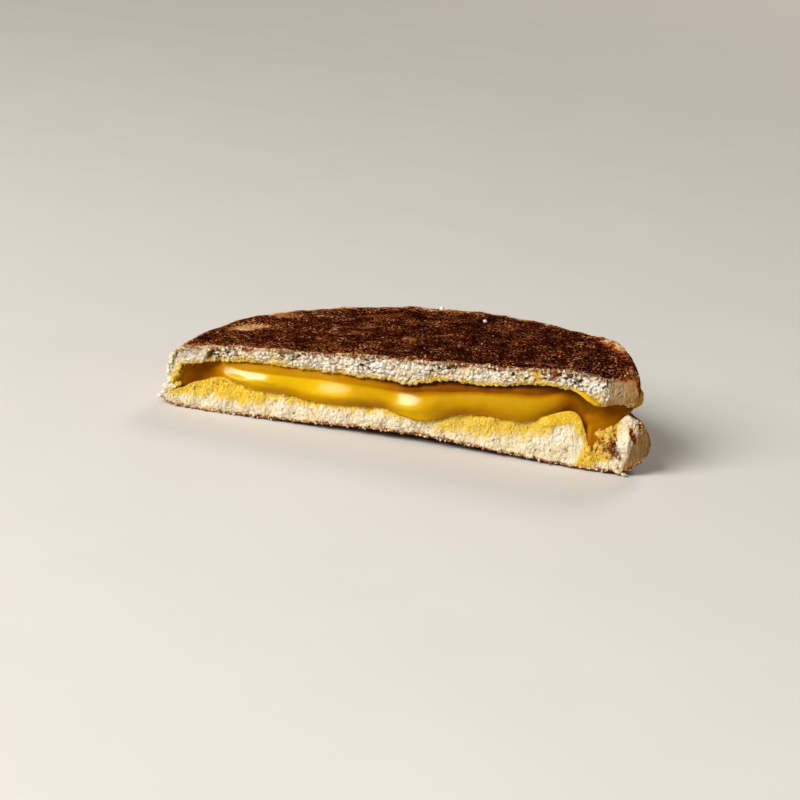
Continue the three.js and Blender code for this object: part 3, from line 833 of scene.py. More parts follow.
def cheese_front(x, low, high, t):
    """The visible face of the cheese, from its foot (t = 0) to where it draws back under the
    upper slice (t = 1): a tongue that swells in lobes, its foot hanging over the lower slice.
    The third array tells how wet it is: most on the glossy places, least towards the foot."""
    run = rise(x, RUN_FROM, RUN_FADE) * (1 - rise(x, RUN_TO, RUN_FADE))
    z = mix(low, high, t)
    swell = (bumps(x, LOBES) + wavy(x, 0, CHEESE_WAVES)) * run
    section = np.sin(math.pi * mix(*SECTION, t)) ** SECTION_POWER
    hang = bumps(x, HANGS) * run
    foot = (1 - t) ** FOOT_POWER
    draw_back = mix(0.35, 2.0, rise(x, -20, 25)) * t ** DRAW_BACK_POWER * run
    back = bumps(x, POCKET) + right_recess(x, z) + draw_back
    back = back - swell * section - (0.9 * hang / (0.5 + hang)) * foot
    wet = 0.04 + 0.12 * rise(t, 0.4, 0.3)
    for gloss in GLOSSES:
        along, up = x - gloss.x, z - gloss.z
        away = np.abs(along / gloss.long) ** gloss.edge + np.abs(up / gloss.tall) ** gloss.edge
        near = np.exp(-away)
        back = mix(back, gloss.back + GLOSS_ALONG * along + GLOSS_UP * up, near)
        wet = np.maximum(wet, gloss.wet * near)
    return back, z - hang * foot, wet * (1 - rise(t, 0.8, 0.12))


def front_shade(x, z, t):
    """Painted light on the cheese's face, as a deeper or paler colour: painted shade under the upper
    slice, at the foot, in the hollow on the left and on the right, and a painted highlight,
    brightest round the glossy places."""
    # plain level of the mark, made paler by painted highlights round the glossy places
    plain = 0.22 + 0.12 * rise(x, -30, 25)
    for glow in PAINTED_GLOWS:
        plain = plain - 0.34 * patch(x, z, *glow)
    begin = 0.84 - 0.18 * rise(x, -20, 25)
    shaded = np.clip((t - begin) / (SHADE_DARKEST_AT - begin), 0, 1) ** 1.3
    crown_shade = mix(0.5, 1.04, rise(x, -16, 18)) * shaded
    # painted shade at the foot, where it turns under
    foot = bumps(x, FOOT_SHADE) * fall(t, 0.5, 0.45)
    # painted shade in the hollows on the left and on the right, each made paler in one place by painted
    # light
    left = 0.76 * fall(x, -44.0, 3.5) - 0.35 * patch(x, z, *LEFT_PAINTED_LIGHT)
    right = 0.35 * rise(x, 20, 12) + 0.52 * rise(x, 34, 6) - 0.55 * patch(x, z, *RIGHT_PAINTED_LIGHT)
    return np.maximum(np.maximum(plain + foot * (1 - plain), crown_shade), np.maximum(left, right))


def cheese_rings():
    """Rings of the cheese layer: up the swollen front, back under the upper slice and forward
    above the lower one. Also how wet its face is and the painted light on its colour."""
    x = stations_of(CHEESE_PLAN, CHEESE_STATIONS, cheese_start)[:, None]
    foot_back = bumps(x, POCKET)
    deep = np.maximum(depth_at(CHEESE_PLAN, x), foot_back + 1e-3)
    crown_back = foot_back + right_recess(x, cheese_upper(x, foot_back + 3))
    high = cheese_upper(x, np.minimum(crown_back, deep - 1e-4))
    t = np.linspace(0, 1, FACE_ROWS + 1)[None, :-1]
    front, z, wet = cheese_front(x, cheese_lower(x, foot_back), high, t)
    front = np.minimum(front, deep - 1e-3)
    steps = np.concatenate([np.linspace(0, 0.14, 20), np.linspace(0.17, 1, 14)])[None, :]
    over = mix(front[:, -1:] + 0.1, deep, steps)
    under = mix(np.minimum(front[:, :1] + 0.3, deep), deep, steps[:, -2::-1])
    strips = [(x, front, z), (x, over, cheese_upper(x, over)), (x, under, cheese_lower(x, under))]
    return np.stack(side_by_side(strips), axis=-1), wet, front_shade(x, z, t)


def cheese_body():
    """The cheese layer with a softly uneven skin and an uneven edge round the back. Its mark of
    painted shade grows behind the cut and in the hollows of its face."""
    rings, wet, shade = cheese_rings()
    x, back, _ = np.moveaxis(rings, -1, 0)
    rim = rise(spread(CHEESE_PLAN, x, back), 0.93, 0.06)
    skin = 0.2 * layered(rings * (0.6, 1.0, 1.0), 5.0, 81, 2) + 0.03 * layered(rings, 1.3, 84, 2)
    uneven = np.clip(-0.3 + 2.6 * layered(rings, 11.0, 86, 3), -1.3, 1.1)
    skin = skin + rim * uneven * fall(x, 52, 6)
    shape = rings + outward(rings) * (skin * near_ends(rings, 12))[..., None]
    shape[..., 1] += end_turn(CHEESE_TURN, x, back)
    # painted shade behind the cut and towards the right, less on the rim
    painted_light_and_tone = mix(mix(0.45, 1.0, rise(x, -16, 18)), 1.0, rise(back, 0, 4)) * (1 - 0.7 * rim)
    gloss = 0.2 * rim
    # painted shade where the face lies further behind the cut
    painted_shade = 0.85 * rise(shape[:, :FACE_ROWS, 1], 0.2, 3.0)
    painted_light_and_tone[:, :FACE_ROWS] = np.maximum(painted_shade, shade)
    gloss[:, :FACE_ROWS] = wet * (1 - rise(painted_shade, 0, 0.6))
    return loft("melted_cheese", to_part(shape), {"painted_light_and_tone": np.clip(painted_light_and_tone, 0, 1), "wet": gloss})


def unit(v):
    return v / np.linalg.norm(v, axis=-1, keepdims=True)


def drip(name, path, radii, painted_light_and_tone=0.0):
    """A drop of cheese: a round section carried along a smooth path, its radius following the
    list and closing at both ends like a ball. Each place along it is the mean of the path's
    points, weighted by a bell over how far along they lie."""
    t = np.linspace(0, 1, DRIP_STEPS)[:, None]
    share = hump(t, np.linspace(0, 1, len(path)), 1 / (0.9 * len(path)))
    share = share / share.sum(1, keepdims=True)
    line = share @ np.array(path)
    closing = np.sqrt(np.maximum(1 - np.abs(2 * t - 1) ** 2.6, 1e-3))
    girth = share @ np.array(radii)[:, None] * closing
    angle = np.linspace(0, 2 * math.pi, DRIP_AROUND, endpoint=False)[:, None]
    ahead = unit(np.gradient(line, axis=0))
    side = unit(np.cross(ahead, [0.0, 1.0, 0.2]))
    up = np.cross(side, ahead)
    ring = side[:, None] * np.cos(angle) + up[:, None] * np.sin(angle)
    rings = line[:, None] + ring * girth[..., None]
    rings = rings + ring * (DRIP_ROUGH * girth * layered(rings, 1.9, 150, 2))[..., None]
    flat = np.ones(rings.shape[:-1])
    return loft(name, to_part(rings), {"painted_light_and_tone": painted_light_and_tone * flat, "wet": DRIP_WET * flat})


# ---- crumbs ------------------------------------------------------------------------------
CLINGING = 0.45                 # grains cling only where the cut's painted shade is less than this
DENTED = 0.38                   # how deep a lump is pushed in, as a share of its size
TORN = 0.75                     # and a torn one
LARGEST_TEAR = 1.2              # but no deeper than on a lump of this half size
FACE_CRUMBS = 30                # on the toasted face; large white ones: x, back, size
WHITE_CRUMBS = [(3.0, 52.6, 0.75), (15.0, 38.3, 0.6)]


def unit_lump(rows, around):
    """Points of a ball as a grid of latitude rings and two poles, with its faces."""
    lat = np.linspace(0, math.pi, rows + 2)[1:-1, None]
    lon = np.linspace(0, 2 * math.pi, around, endpoint=False)[None, :]
    across = np.sin(lat)
    grid = np.stack([across * np.cos(lon), across * np.sin(lon), np.cos(lat) + 0 * lon], axis=-1)
    points = np.concatenate([grid.reshape(-1, 3), [[0, 0, 1], [0, 0, -1]]])
    return points, tube_faces(rows, around)


def lump_mesh(name, points, faces, marks):
    """One mesh of many lumps (lumps, points of each, 3) that all have the same faces."""
    quads, caps = faces
    step = np.arange(len(points))[:, None, None] * points.shape[1]
    quads, caps = (quads + step).reshape(-1, 4), (caps + step).reshape(-1, 3)
    return add_mesh(name, points.reshape(-1, 3), quads, caps, marks)


def scatter(name, centres, sizes, squash, marks, seed, rows=6, around=8):
    """One mesh of irregular lumps: the same ball, turned at random, pushed in and out by noise
    and set at each centre with its own size."""
    draw = np.random.default_rng(seed)
    ball, faces = unit_lump(rows, around)
    count = len(centres)
    turn, _ = np.linalg.qr(draw.normal(size=(count, 3, 3)))
    turn[np.linalg.det(turn) < 0, :, 0] *= -1
    middle, short = draw.uniform(0.6, 1.0, count), draw.uniform(squash, 1.0, count)
    stretch = np.stack([np.ones(count), middle, short], axis=-1)
    wide = (ball * stretch[:, None]) * sizes[:, None, None]
    turned = np.einsum("nij,nvj->nvi", turn, wide)
    apart = 7.3 * np.arange(count)[:, None, None]       # so that no two lumps get the same dents
    dent = 1 + DENTED * layered(ball + apart, 0.8, seed, 2)
    points = centres[:, None] + turned * dent[..., None]
    values = {mark: np.repeat(value, len(ball)) for mark, value in marks.items()}
    return lump_mesh(name, points, faces, values)


def cut_grains(name, front, marks, count, sizes, seed):
    """Grains of crumb that cling to a cut face, on the points that stand out most."""
    draw = np.random.default_rng(seed)
    standing = np.flatnonzero(marks["painted_shade"].ravel() < CLINGING)
    chosen = draw.choice(standing, count, replace=False)
    size = draw.uniform(*sizes, count) * draw.uniform(0.6, 1.0, count)
    centres = front.reshape(-1, 3)[chosen]
    picked = {mark: value.ravel()[chosen] for mark, value in marks.items()}
    return scatter(name, centres, size, 0.6, picked, seed + 1, 4, 6)


def edge_crumbs(name, kind, brown, count, reach, seed):
    """Ragged crumbs along one long edge of a cut: the toasted edge where brown is 1, the edge
    towards the cheese where it is 0. They are tiny under the film of cheese."""
    draw = np.random.default_rng(seed)
    plan = shrink(kind.plan, 1.0)
    side = kind.toast_side if brown else -kind.toast_side
    edge = kind.upper if side > 0 else kind.lower
    x = plan.middle + draw.uniform(-plan.left, plan.right, count)
    back = draw.uniform(0.0, 0.9, count)
    z = edge(x, back) - side * draw.uniform(0.0, reach, count)
    fringe = side < 0 and not brown
    size = draw.uniform(0.16, 0.28 if fringe else 0.42, count) * draw.uniform(0.5, 1.0, count)
    if side > 0 and not brown:
        size = np.where((x > 30) & (x < 45), 0.05, size)
    z = np.maximum(z, 0.7 * size)
    centres = to_part(np.stack([x, back + end_turn(kind.turn, x, back), z], axis=-1))
    toast = brown * draw.uniform(0.1, 0.95, count)
    stain = (1 - brown) * draw.uniform(0.15, 0.8, count)
    # painted shade: a little at random, more on the fringe under the upper slice; on the edge towards the
    # cheese the skin mark darkens them as much
    painted_shade = draw.uniform(0, 0.3, count) + (0.4 if fringe else 0)
    marks = {"stain": stain, "painted_shade": painted_shade, "toast": toast, "skin": painted_shade * (1 - brown)}
    return scatter(name, centres, size, 0.5, marks, seed + 1, 4, 6)


def heap(name, spots, count, sizes, ranges, seed):
    """Crumbs heaped in ovals on the cut: each spot has x, back, height, half sizes and a share."""
    draw = np.random.default_rng(seed)
    spots = np.array(spots)
    share = spots[:, 6]
    picked = spots[draw.choice(len(spots), count, p=share / share.sum())]
    centres = picked[:, :3] + picked[:, 3:6] * np.clip(draw.normal(0, 0.5, (count, 3)), -1, 1)
    size = draw.uniform(*sizes, count) * draw.uniform(0.6, 1.0, count)
    centres[:, 2] = np.maximum(centres[:, 2], 0.8 * size)
    values = {mark: draw.uniform(low, high, count) for mark, (low, high) in ranges.items()}
    return scatter(name, to_part(centres), size, 0.55, values, seed + 1, 5, 7)


def torn_lumps(name, spots, ranges, seed):
    """Torn pieces of crumb as one mesh: balls with the half sizes of each spot, pushed in and
    out along their normals by layered noise and by sharp ridges where a second noise is 0."""
    ball, faces = unit_lump(24, 34)
    spots = np.array(spots)
    middle, wide = spots[:, None, :3], spots[:, None, 3:6]
    points = middle + ball * wide
    ridges = 0.4 - 1.6 * np.abs(layered(points, 0.8, seed, 3))
    relief = 1.5 * layered(points, 1.5, seed + 5, 2) + 0.8 * layered(points, 0.5, seed + 7, 2)
    relief = relief + 0.8 * ridges
    size = np.clip(wide.min(axis=-1, keepdims=True), 0, LARGEST_TEAR)
    points = points + unit(ball / wide) * TORN * size * relief[..., None]
    points[..., 2] = np.maximum(points[..., 2], 0.02)
    values = {}
    for number, (mark, (low, high)) in enumerate(ranges.items()):
        shade = np.clip(0.5 + 0.9 * layered(points, 1.2, seed + 9 + number, 2), 0, 1)
        values[mark] = mix(low, high, shade).ravel()
    # painted shade in the creases between the ridges
    values["painted_shade"] = np.maximum(values["painted_shade"], 0.5 * ease(-ridges / 0.6).ravel())
    return lump_mesh(name, to_part(points), faces, values)


def surface_crumbs():
    """A few crumbs that lie on the toasted face, two of them large and white."""
    draw = np.random.default_rng(5)
    x = draw.uniform(-50, 50, FACE_CRUMBS)
    out = draw.uniform(0.5, 1.0, FACE_CRUMBS) ** 0.7 * depth_at(TOP_PLAN, x, 0.93)
    back = out * draw.uniform(0, 1, FACE_CRUMBS)
    size = draw.uniform(0.1, 0.22, FACE_CRUMBS)
    x[:2], back[:2], size[:2] = zip(*WHITE_CRUMBS)
    toast = draw.uniform(0.3, 0.6, FACE_CRUMBS)
    toast[:2] = 0.02
    centres = to_part(np.stack([x, back, top_upper(x, back) + 0.3 * size], axis=-1))
    marks = {"stain": 0 * x, "painted_shade": 0 * x, "toast": toast, "skin": 0 * x}
    return scatter("face_crumbs", centres, size, 0.6, marks, 6)


# ---- colours and materials ---------------------------------------------------------------
def srgb(red, green, blue):
    """A colour given as 0 to 255 on screen, as the linear values that shaders use."""
    def linear(v):
        v = v / 255
        return v / 12.92 if v <= 0.04045 else ((v + 0.055) / 1.055) ** 2.4
    return (linear(red), linear(green), linear(blue), 1.0)


TOAST_STEPS = [(0.00, srgb(246, 230, 196)), (0.18, srgb(233, 190, 128)), (0.34, srgb(214, 142, 70)),
               (0.50, srgb(168, 88, 46)), (0.68, srgb(98, 41, 17)), (0.82, srgb(55, 19, 5)),
               (1.00, srgb(25, 5, 0))]
SCORCH_STEPS = [(0.00, srgb(236, 212, 172)), (0.30, srgb(212, 156, 88)), (0.60, srgb(156, 82, 32)),
                (1.00, srgb(66, 24, 8))]
# cheese colours from the palest, a painted highlight, to the darkest, painted shade
CHEESE_PAINTED_LIGHT_STEPS = [(0.00, srgb(214, 170, 0)), (0.20, srgb(197, 150, 0)), (0.35, srgb(182, 136, 0)),
                (0.55, srgb(170, 118, 0)), (0.80, srgb(155, 97, 0)), (1.00, srgb(117, 64, 0))]


class Nodes:
    """Short ways to add and join the nodes of a material or of a shader group."""

    def __init__(self, tree):
        self.tree = tree

    def add(self, kind, **settings):
        node = self.tree.nodes.new(kind)
        for key, value in settings.items():
            setattr(node, key, value)
        return node

    def feed(self, socket, value):
        """Sets a socket to a plain value, or joins another node's output to it."""
        if isinstance(value, (int, float, tuple)):
            socket.default_value = value
        else:
            self.tree.links.new(value, socket)

    def math(self, operation, a, b):
        node = self.add("ShaderNodeMath", operation=operation)
        self.feed(node.inputs[0], a)
        self.feed(node.inputs[1], b)
        return node.outputs[0]

    def span(self, value, low, high, to_low=0.0, to_high=1.0):
        node = self.add("ShaderNodeMapRange")
        names = ("Value", "From Min", "From Max", "To Min", "To Max")
        for name, number in zip(names, (value, low, high, to_low, to_high)):
            self.feed(node.inputs[name], number)
        return node.outputs["Result"]


def mottle_group():
    """Shared grain: noise on the object's own coordinates, stretched along z, spread from one
    value to another. Every finish takes its grain, speckle and streaks from it."""
    tree = bpy.data.node_groups.new("mottle", "ShaderNodeTree")
    for name, value in (("Size", 1.0), ("Detail", 3.0), ("Rough", 0.55), ("Upright", 1.0),
                        ("Contrast", 0.2), ("Low", 0.0), ("High", 1.0)):
        socket = tree.interface.new_socket(name, in_out="INPUT", socket_type="NodeSocketFloat")
        socket.default_value = value
    tree.interface.new_socket("Value", in_out="OUTPUT", socket_type="NodeSocketFloat")
    g = Nodes(tree)
    given, result = g.add("NodeGroupInput"), g.add("NodeGroupOutput")
    parts = g.add("ShaderNodeSeparateXYZ")
    g.feed(parts.inputs[0], g.add("ShaderNodeTexCoord").outputs["Object"])
    joined = g.add("ShaderNodeCombineXYZ")
    g.feed(joined.inputs[0], parts.outputs[0])
    g.feed(joined.inputs[1], parts.outputs[1])
    g.feed(joined.inputs[2], g.math("DIVIDE", parts.outputs[2], given.outputs["Upright"]))
    noise = g.add("ShaderNodeTexNoise")
    g.feed(noise.inputs["Vector"], joined.outputs[0])
    g.feed(noise.inputs["Scale"], g.math("DIVIDE", 1 / MM, given.outputs["Size"]))
    g.feed(noise.inputs["Detail"], given.outputs["Detail"])
    g.feed(noise.inputs["Roughness"], given.outputs["Rough"])
    low = g.math("SUBTRACT", 0.5, given.outputs["Contrast"])
    high = g.math("ADD", 0.5, given.outputs["Contrast"])
    spread_out = g.span(noise.outputs["Fac"], low, high, given.outputs["Low"], given.outputs["High"])
    g.feed(result.inputs["Value"], spread_out)
    return tree


MOTTLE = mottle_group()


class Finish(Nodes):
    """One material: a principled surface and short ways to feed it."""

    def __init__(self, name):
        self.material = bpy.data.materials.new(name)
        self.material.use_nodes = True
        super().__init__(self.material.node_tree)
        self.tree.nodes.clear()
        self.surface = self.add("ShaderNodeBsdfPrincipled")
        self.feed(self.add("ShaderNodeOutputMaterial").inputs["Surface"], self.surface.outputs[0])

    def mark(self, name):
        return self.add("ShaderNodeAttribute", attribute_name=name).outputs["Fac"]

    def mottle(self, size, low, high, **more):
        node = self.add("ShaderNodeGroup", node_tree=MOTTLE)
        for name, value in dict(size=size, low=low, high=high, **more).items():
            node.inputs[name.title()].default_value = value
        return node.outputs["Value"]

    def blend(self, share, a, b):
        node = self.add("ShaderNodeMix", data_type="RGBA")
        for index, value in ((0, share), (6, a), (7, b)):
            self.feed(node.inputs[index], value)
        return node.outputs[2]

    def ramp(self, value, steps):
        node = self.add("ShaderNodeValToRGB")
        while len(node.color_ramp.elements) < len(steps):
            node.color_ramp.elements.new(0.5)
        for element, (at, colour) in zip(node.color_ramp.elements, steps):
            element.position = at
            element.color = colour
        self.feed(node.inputs["Fac"], value)
        return node.outputs["Color"]

    def bump(self, height, strength, distance):
        node = self.add("ShaderNodeBump")
        self.feed(node.inputs["Strength"], strength)
        self.feed(node.inputs["Distance"], distance * MM)
        self.feed(node.inputs["Height"], height)
        self.feed(self.surface.inputs["Normal"], node.outputs["Normal"])

    def set(self, **values):
        for key, value in values.items():
            name = key.replace("_", " ").title().replace("Ior", "IOR")
            self.feed(self.surface.inputs[name], value)


def crumb_material():
    """Pale crumb: grey-brown in its pores, which is painted shade, yellow where cheese soaked in,
    with amber there as painted shade, brown next to the crust, and tan with fine upright streaks
    where it is skin, a tan that in places is painted shade too."""
    s = Finish("bread_crumb")
    broad = s.blend(s.mottle(4.0, 0, 1, detail=4.0), srgb(255, 254, 250), srgb(240, 222, 192))
    tone = s.blend(s.mottle(0.5, -0.35, 0.42, detail=2.0), broad, srgb(222, 200, 166))
    # painted shade: grey-brown in pores, pits and creases
    pores = s.blend(s.mark("painted_shade"), tone, srgb(132, 96, 54))
    patchy = s.math("MULTIPLY", s.mark("stain"), s.mottle(0.8, 0.8, 1.25))
    lemon = s.blend(s.span(patchy, 0.0, 0.45), pores, srgb(230, 198, 88))
    soaked = s.blend(s.mottle(1.2, 0, 1, upright=2.0), srgb(226, 186, 0), srgb(212, 160, 0))
    grainy = s.blend(s.mottle(0.5, -0.4, 0.65, detail=2.0), soaked, srgb(252, 234, 136))
    # painted shade on crumb that cheese soaked into: a darker amber
    amber_painted_shade = s.blend(s.mark("painted_shade"), grainy, srgb(176, 120, 4))
    cheesy = s.blend(s.span(patchy, 0.35, 1.0), lemon, amber_painted_shade)
    # tan skin; its mark also paints shade on the cheesy fringe of the upper slice and on crumbs there
    skin = s.blend(s.mottle(0.7, 0, 1, upright=4.0), srgb(174, 138, 90), srgb(140, 104, 60))
    closed = s.blend(s.mark("skin"), cheesy, skin)
    browned = s.math("MULTIPLY", s.mark("toast"), s.mottle(0.6, 0.45, 1.25))
    scorch = s.ramp(browned, SCORCH_STEPS)
    colour = s.blend(s.span(browned, 0.05, 0.6), closed, scorch)
    s.set(base_color=colour, roughness=s.span(s.mark("stain"), 0, 1, 0.85, 0.5))
    s.set(subsurface_weight=0.4, subsurface_radius=(1.0, 0.62, 0.3), subsurface_scale=0.5 * MM)
    s.set(specular_ior_level=0.1)
    smoother = s.span(s.mark("stain"), 0.7, 1, 1, 0.55)
    grain = s.math("MULTIPLY", s.mottle(0.45, 0, 1, detail=3.0, rough=0.7), smoother)
    s.bump(grain, 0.75, 0.35)
    return s.material


def crust_material():
    """Toasted crust: from cream through gold and red-brown to nearly black, grained like fine
    leather on the pressed face and smoother on the side, with faint oily glints."""
    s = Finish("toasted_crust")
    pressed = s.span(s.mark("pressed"), 0.0, 1.0, 0.3, 1.0)
    broad = s.math("MULTIPLY", pressed, s.mottle(2.4, -0.14, 0.14, detail=4.0, rough=0.65))
    flecks = s.mottle(0.6, -0.64, 0.36, detail=3.0, rough=0.7, contrast=0.18)
    clouded = s.math("MULTIPLY", flecks, s.mottle(5.0, 0.4, 1.5, detail=2.0))
    fine = s.math("MULTIPLY", pressed, clouded)
    speckled = s.math("ADD", s.math("ADD", s.mark("toast"), broad), fine)
    s.set(base_color=s.ramp(speckled, TOAST_STEPS), roughness=0.8)
    s.set(specular_ior_level=0.0)
    s.set(coat_weight=s.mottle(0.7, -2.0, 0.6, detail=2.0, contrast=0.2), coat_roughness=0.32)
    s.set(subsurface_weight=0.05, subsurface_radius=(1.0, 0.5, 0.25), subsurface_scale=0.5 * MM)
    s.bump(s.mottle(0.9, 0, 1, detail=4.0, rough=0.75), 1.0, 0.6)
    return s.material


def cheese_material():
    """Melted cheese: glossy and slightly see-into where it swells out. Its colour follows a mark of
    painted light: dull amber as painted shade where it lies in hollows, under the upper slice and
    at its foot, and paler yellow as painted highlight round its glossy places."""
    s = Finish("melted_cheese")
    # the mark of painted shade and painted highlight, with a little random tone
    uneven = s.math("ADD", s.mark("painted_light_and_tone"), s.mottle(5.0, -0.08, 0.1, detail=2.0))
    s.set(base_color=s.ramp(uneven, CHEESE_PAINTED_LIGHT_STEPS), roughness=0.5)
    s.set(subsurface_weight=0.35, subsurface_radius=(1.0, 0.6, 0.05), subsurface_scale=1.2 * MM)
    s.set(specular_ior_level=0.05)
    s.set(coat_weight=s.mark("wet"), coat_roughness=0.28)
    s.bump(s.mottle(1.6, 0, 1, detail=2.0), 0.1, 0.3)
    return s.material


# ---- crumbs and lumps by place -----------------------------------------------------------
# what they look like: from and to values of the marks
PALE = {"stain": (0.0, 0.2), "painted_shade": (0.0, 0.2), "toast": (0.0, 0.1), "skin": (0.0, 0.0)}
GOLDEN = {"stain": (0.35, 0.95), "painted_shade": (0.0, 0.65), "toast": (0.05, 0.75), "skin": (0.0, 0.0)}
SOAKED = {"stain": (0.8, 1.0), "painted_shade": (0.1, 0.6), "toast": (0.0, 0.2), "skin": (0.0, 0.0)}
BROWN = {"stain": (0.0, 0.3), "painted_shade": (0.0, 0.3), "toast": (0.4, 1.2), "skin": (0.0, 0.0)}

# torn lumps: x, back, height, and half sizes along x, back and height
LUMPS = [
    ("crease", GOLDEN, [
        (47.6, 0.9, 9.3, 1.3, 1.0, 1.4), (49.5, 0.8, 10.9, 1.2, 0.9, 0.9),
        (46.6, 0.6, 7.0, 0.7, 0.7, 1.3), (48.9, 0.7, 8.8, 1.1, 0.9, 1.2),
        (50.6, 0.9, 10.4, 0.9, 0.9, 1.2), (47.9, 0.6, 6.0, 1.0, 0.8, 1.0),
        (45.2, 0.5, 5.2, 0.6, 0.6, 0.9), (49.6, 0.5, 5.0, 1.0, 0.6, 0.8),
        (51.2, 0.9, 12.3, 0.7, 0.7, 0.6)]),
    ("scorched", BROWN, [
        (50.3, -0.1, 7.3, 0.9, 0.5, 1.3), (51.2, 0.0, 5.7, 0.8, 0.5, 0.8),
        (49.4, 0.0, 9.4, 0.6, 0.4, 0.5), (52.6, 0.1, 4.8, 0.5, 0.4, 0.35)]),
    ("tip", PALE, [
        (-59.4, 1.4, 4.2, 0.9, 0.8, 0.8), (-60.5, 1.4, 3.0, 0.7, 0.6, 0.5),
        (-58.1, 0.9, 4.9, 0.8, 0.7, 0.6), (-58.8, 0.9, 2.6, 0.9, 0.6, 0.6),
        (-61.1, 1.5, 1.9, 0.6, 0.5, 0.4)]),
    ("pocket", SOAKED, [
        (-57.0, 0.7, 5.6, 0.9, 0.6, 0.6), (-58.2, 1.3, 6.4, 0.6, 0.8, 1.0),
        (-57.6, 1.2, 8.0, 0.6, 0.8, 1.3), (-57.1, 1.2, 9.8, 0.6, 0.8, 1.3)]),
    ("wall", PALE, [
        (-59.2, 1.6, 6.2, 0.6, 0.8, 0.8), (-59.3, 1.8, 8.4, 0.5, 0.8, 1.3)]),
    ("end", PALE, [
        (-59.2, 1.2, 11.8, 0.5, 0.7, 1.1), (-58.7, 1.0, 13.6, 0.55, 0.7, 0.7),
        (-59.7, 1.4, 9.3, 0.4, 0.7, 1.2)]),
    ("hanging", PALE, [
        (51.9, 0.3, 2.0, 0.6, 0.5, 0.9), (53.0, 0.2, 1.2, 0.8, 0.45, 0.5),
        (54.3, 0.1, 0.7, 0.5, 0.35, 0.35), (23.2, 0.6, 2.0, 1.1, 0.6, 0.55),
        (31.2, 0.5, 1.6, 0.8, 0.6, 0.6), (-4.0, 0.6, 2.3, 0.6, 0.4, 0.3)])]
# heaps of crumbs: how many and from which size to which, then x, back, height, the half sizes
# and the share of the crumbs that each oval gets
HEAPS = [
    ("crease", GOLDEN, 60, (0.12, 0.3), [
        (47.8, 0.6, 9.2, 1.5, 0.9, 1.5, 3), (49.8, 0.5, 10.6, 1.3, 0.9, 1.1, 2),
        (46.6, 0.4, 6.6, 0.9, 0.6, 2.0, 2), (49.0, 0.5, 8.2, 1.0, 0.7, 1.3, 2),
        (45.4, 0.3, 4.6, 0.8, 0.5, 1.0, 1)]),
    ("end", PALE, 110, (0.13, 0.34), [
        (-59.3, 1.3, 11.4, 0.5, 0.9, 1.5, 3), (-58.7, 0.9, 13.6, 0.6, 0.8, 1.0, 2),
        (-59.8, 1.5, 8.6, 0.5, 0.9, 2.0, 3), (-57.4, 0.7, 14.8, 0.8, 0.6, 0.5, 1)]),
    ("scorched", BROWN, 16, (0.12, 0.26), [
        (50.4, -0.2, 7.2, 0.9, 0.5, 1.0, 3), (52.2, 0.1, 5.0, 0.7, 0.4, 0.5, 1),
        (49.3, 0.1, 9.2, 0.6, 0.4, 0.5, 1)]),
    ("tip", PALE, 60, (0.14, 0.36), [
        (-59.4, 0.9, 3.6, 1.0, 0.9, 0.9, 2), (-57.6, 0.5, 2.8, 1.6, 0.6, 0.9, 1)]),
    ("pocket", GOLDEN, 60, (0.14, 0.4), [
        (-58.0, 1.0, 6.2, 0.5, 0.8, 1.6, 2), (-57.4, 1.6, 4.8, 1.2, 0.9, 0.5, 2)]),
    ("hanging", PALE, 60, (0.12, 0.34), [
        (52.0, 0.2, 1.9, 0.7, 0.4, 0.5, 2), (53.4, 0.1, 1.2, 0.8, 0.4, 0.5, 2),
        (54.6, 0.1, 0.6, 0.5, 0.3, 0.3, 1), (23.0, 0.5, 1.8, 1.6, 0.5, 0.5, 1),
        (31.0, 0.5, 1.4, 1.2, 0.5, 0.5, 1)])]
LUMP_SEED, HEAP_SEED = 170, 71
GRAINS_ON_CUT, CRUMBS_ON_EDGE = 1600, 420
# drops of cheese: x, back, height of the points of their paths, and the radius at each
CORNER_DRIP = [(37.4, 0.6, 20.2), (40.6, 0.1, 19.5), (42.9, -0.1, 18.4), (44.8, 0.0, 17.2),
               (46.4, 0.4, 16.9)]
CORNER_RADII = [0.2, 0.45, 0.7, 0.7, 0.4]
END_OOZE = [(53.4, 6.8, 21.6), (54.4, 6.6, 20.4), (54.9, 6.4, 18.8), (54.8, 6.4, 17.2),
            (53.6, 6.0, 15.8)]
OOZE_RADII, OOZE_DEPTH = [0.9, 1.4, 1.75, 1.6, 1.0], 0.3


# ---- dressing ----------------------------------------------------------------------------
# the solid that a piece stands for, and its slot
UPPER_BREAD = ("top_slice", "top_bread")
LOWER_BREAD = ("bottom_slice", "bottom_bread")
MELTED = ("cheese", "melted_cheese")


def dress(piece, material, node, slot):
    """Gives a piece its finish, lets it ride with the part and stand for a solid."""
    piece.data.materials.append(material)
    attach(piece, BODY)
    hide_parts(node)


crumb = crumb_material()
crust = crust_material()
cheese = cheese_material()

# each slice: rows of points up its cut, sizes of the grains on it, and the number of crumbs on
# its edge towards the cheese
for kind, rows, grain_sizes, cheesy_crumbs, bread in (
        (TOP, 38, (0.08, 0.21), 150, UPPER_BREAD),
        (BASE, 50, (0.11, 0.27), 300, LOWER_BREAD)):
    body, face, marks = crumb_body(kind, rows)
    dress(body, crumb, *bread)
    grains = cut_grains(kind.name + "_grains", face, marks, GRAINS_ON_CUT, grain_sizes, 20 + kind.seed)
    dress(grains, crumb, *bread)
    toasted = edge_crumbs(kind.name + "_toasted_edge", kind, 1, CRUMBS_ON_EDGE, 0.7, 40 + kind.seed)
    dress(toasted, crumb, *bread)
    cheesy = edge_crumbs(kind.name + "_cheesy_edge", kind, 0, cheesy_crumbs, 0.8, 60 + kind.seed)
    dress(cheesy, crumb, *bread)
dress(crust_body(TOP, 118, 30), crust, *UPPER_BREAD)
dress(crust_body(BASE, 34, 34), crust, *LOWER_BREAD)
dress(cheese_body(), cheese, *MELTED)
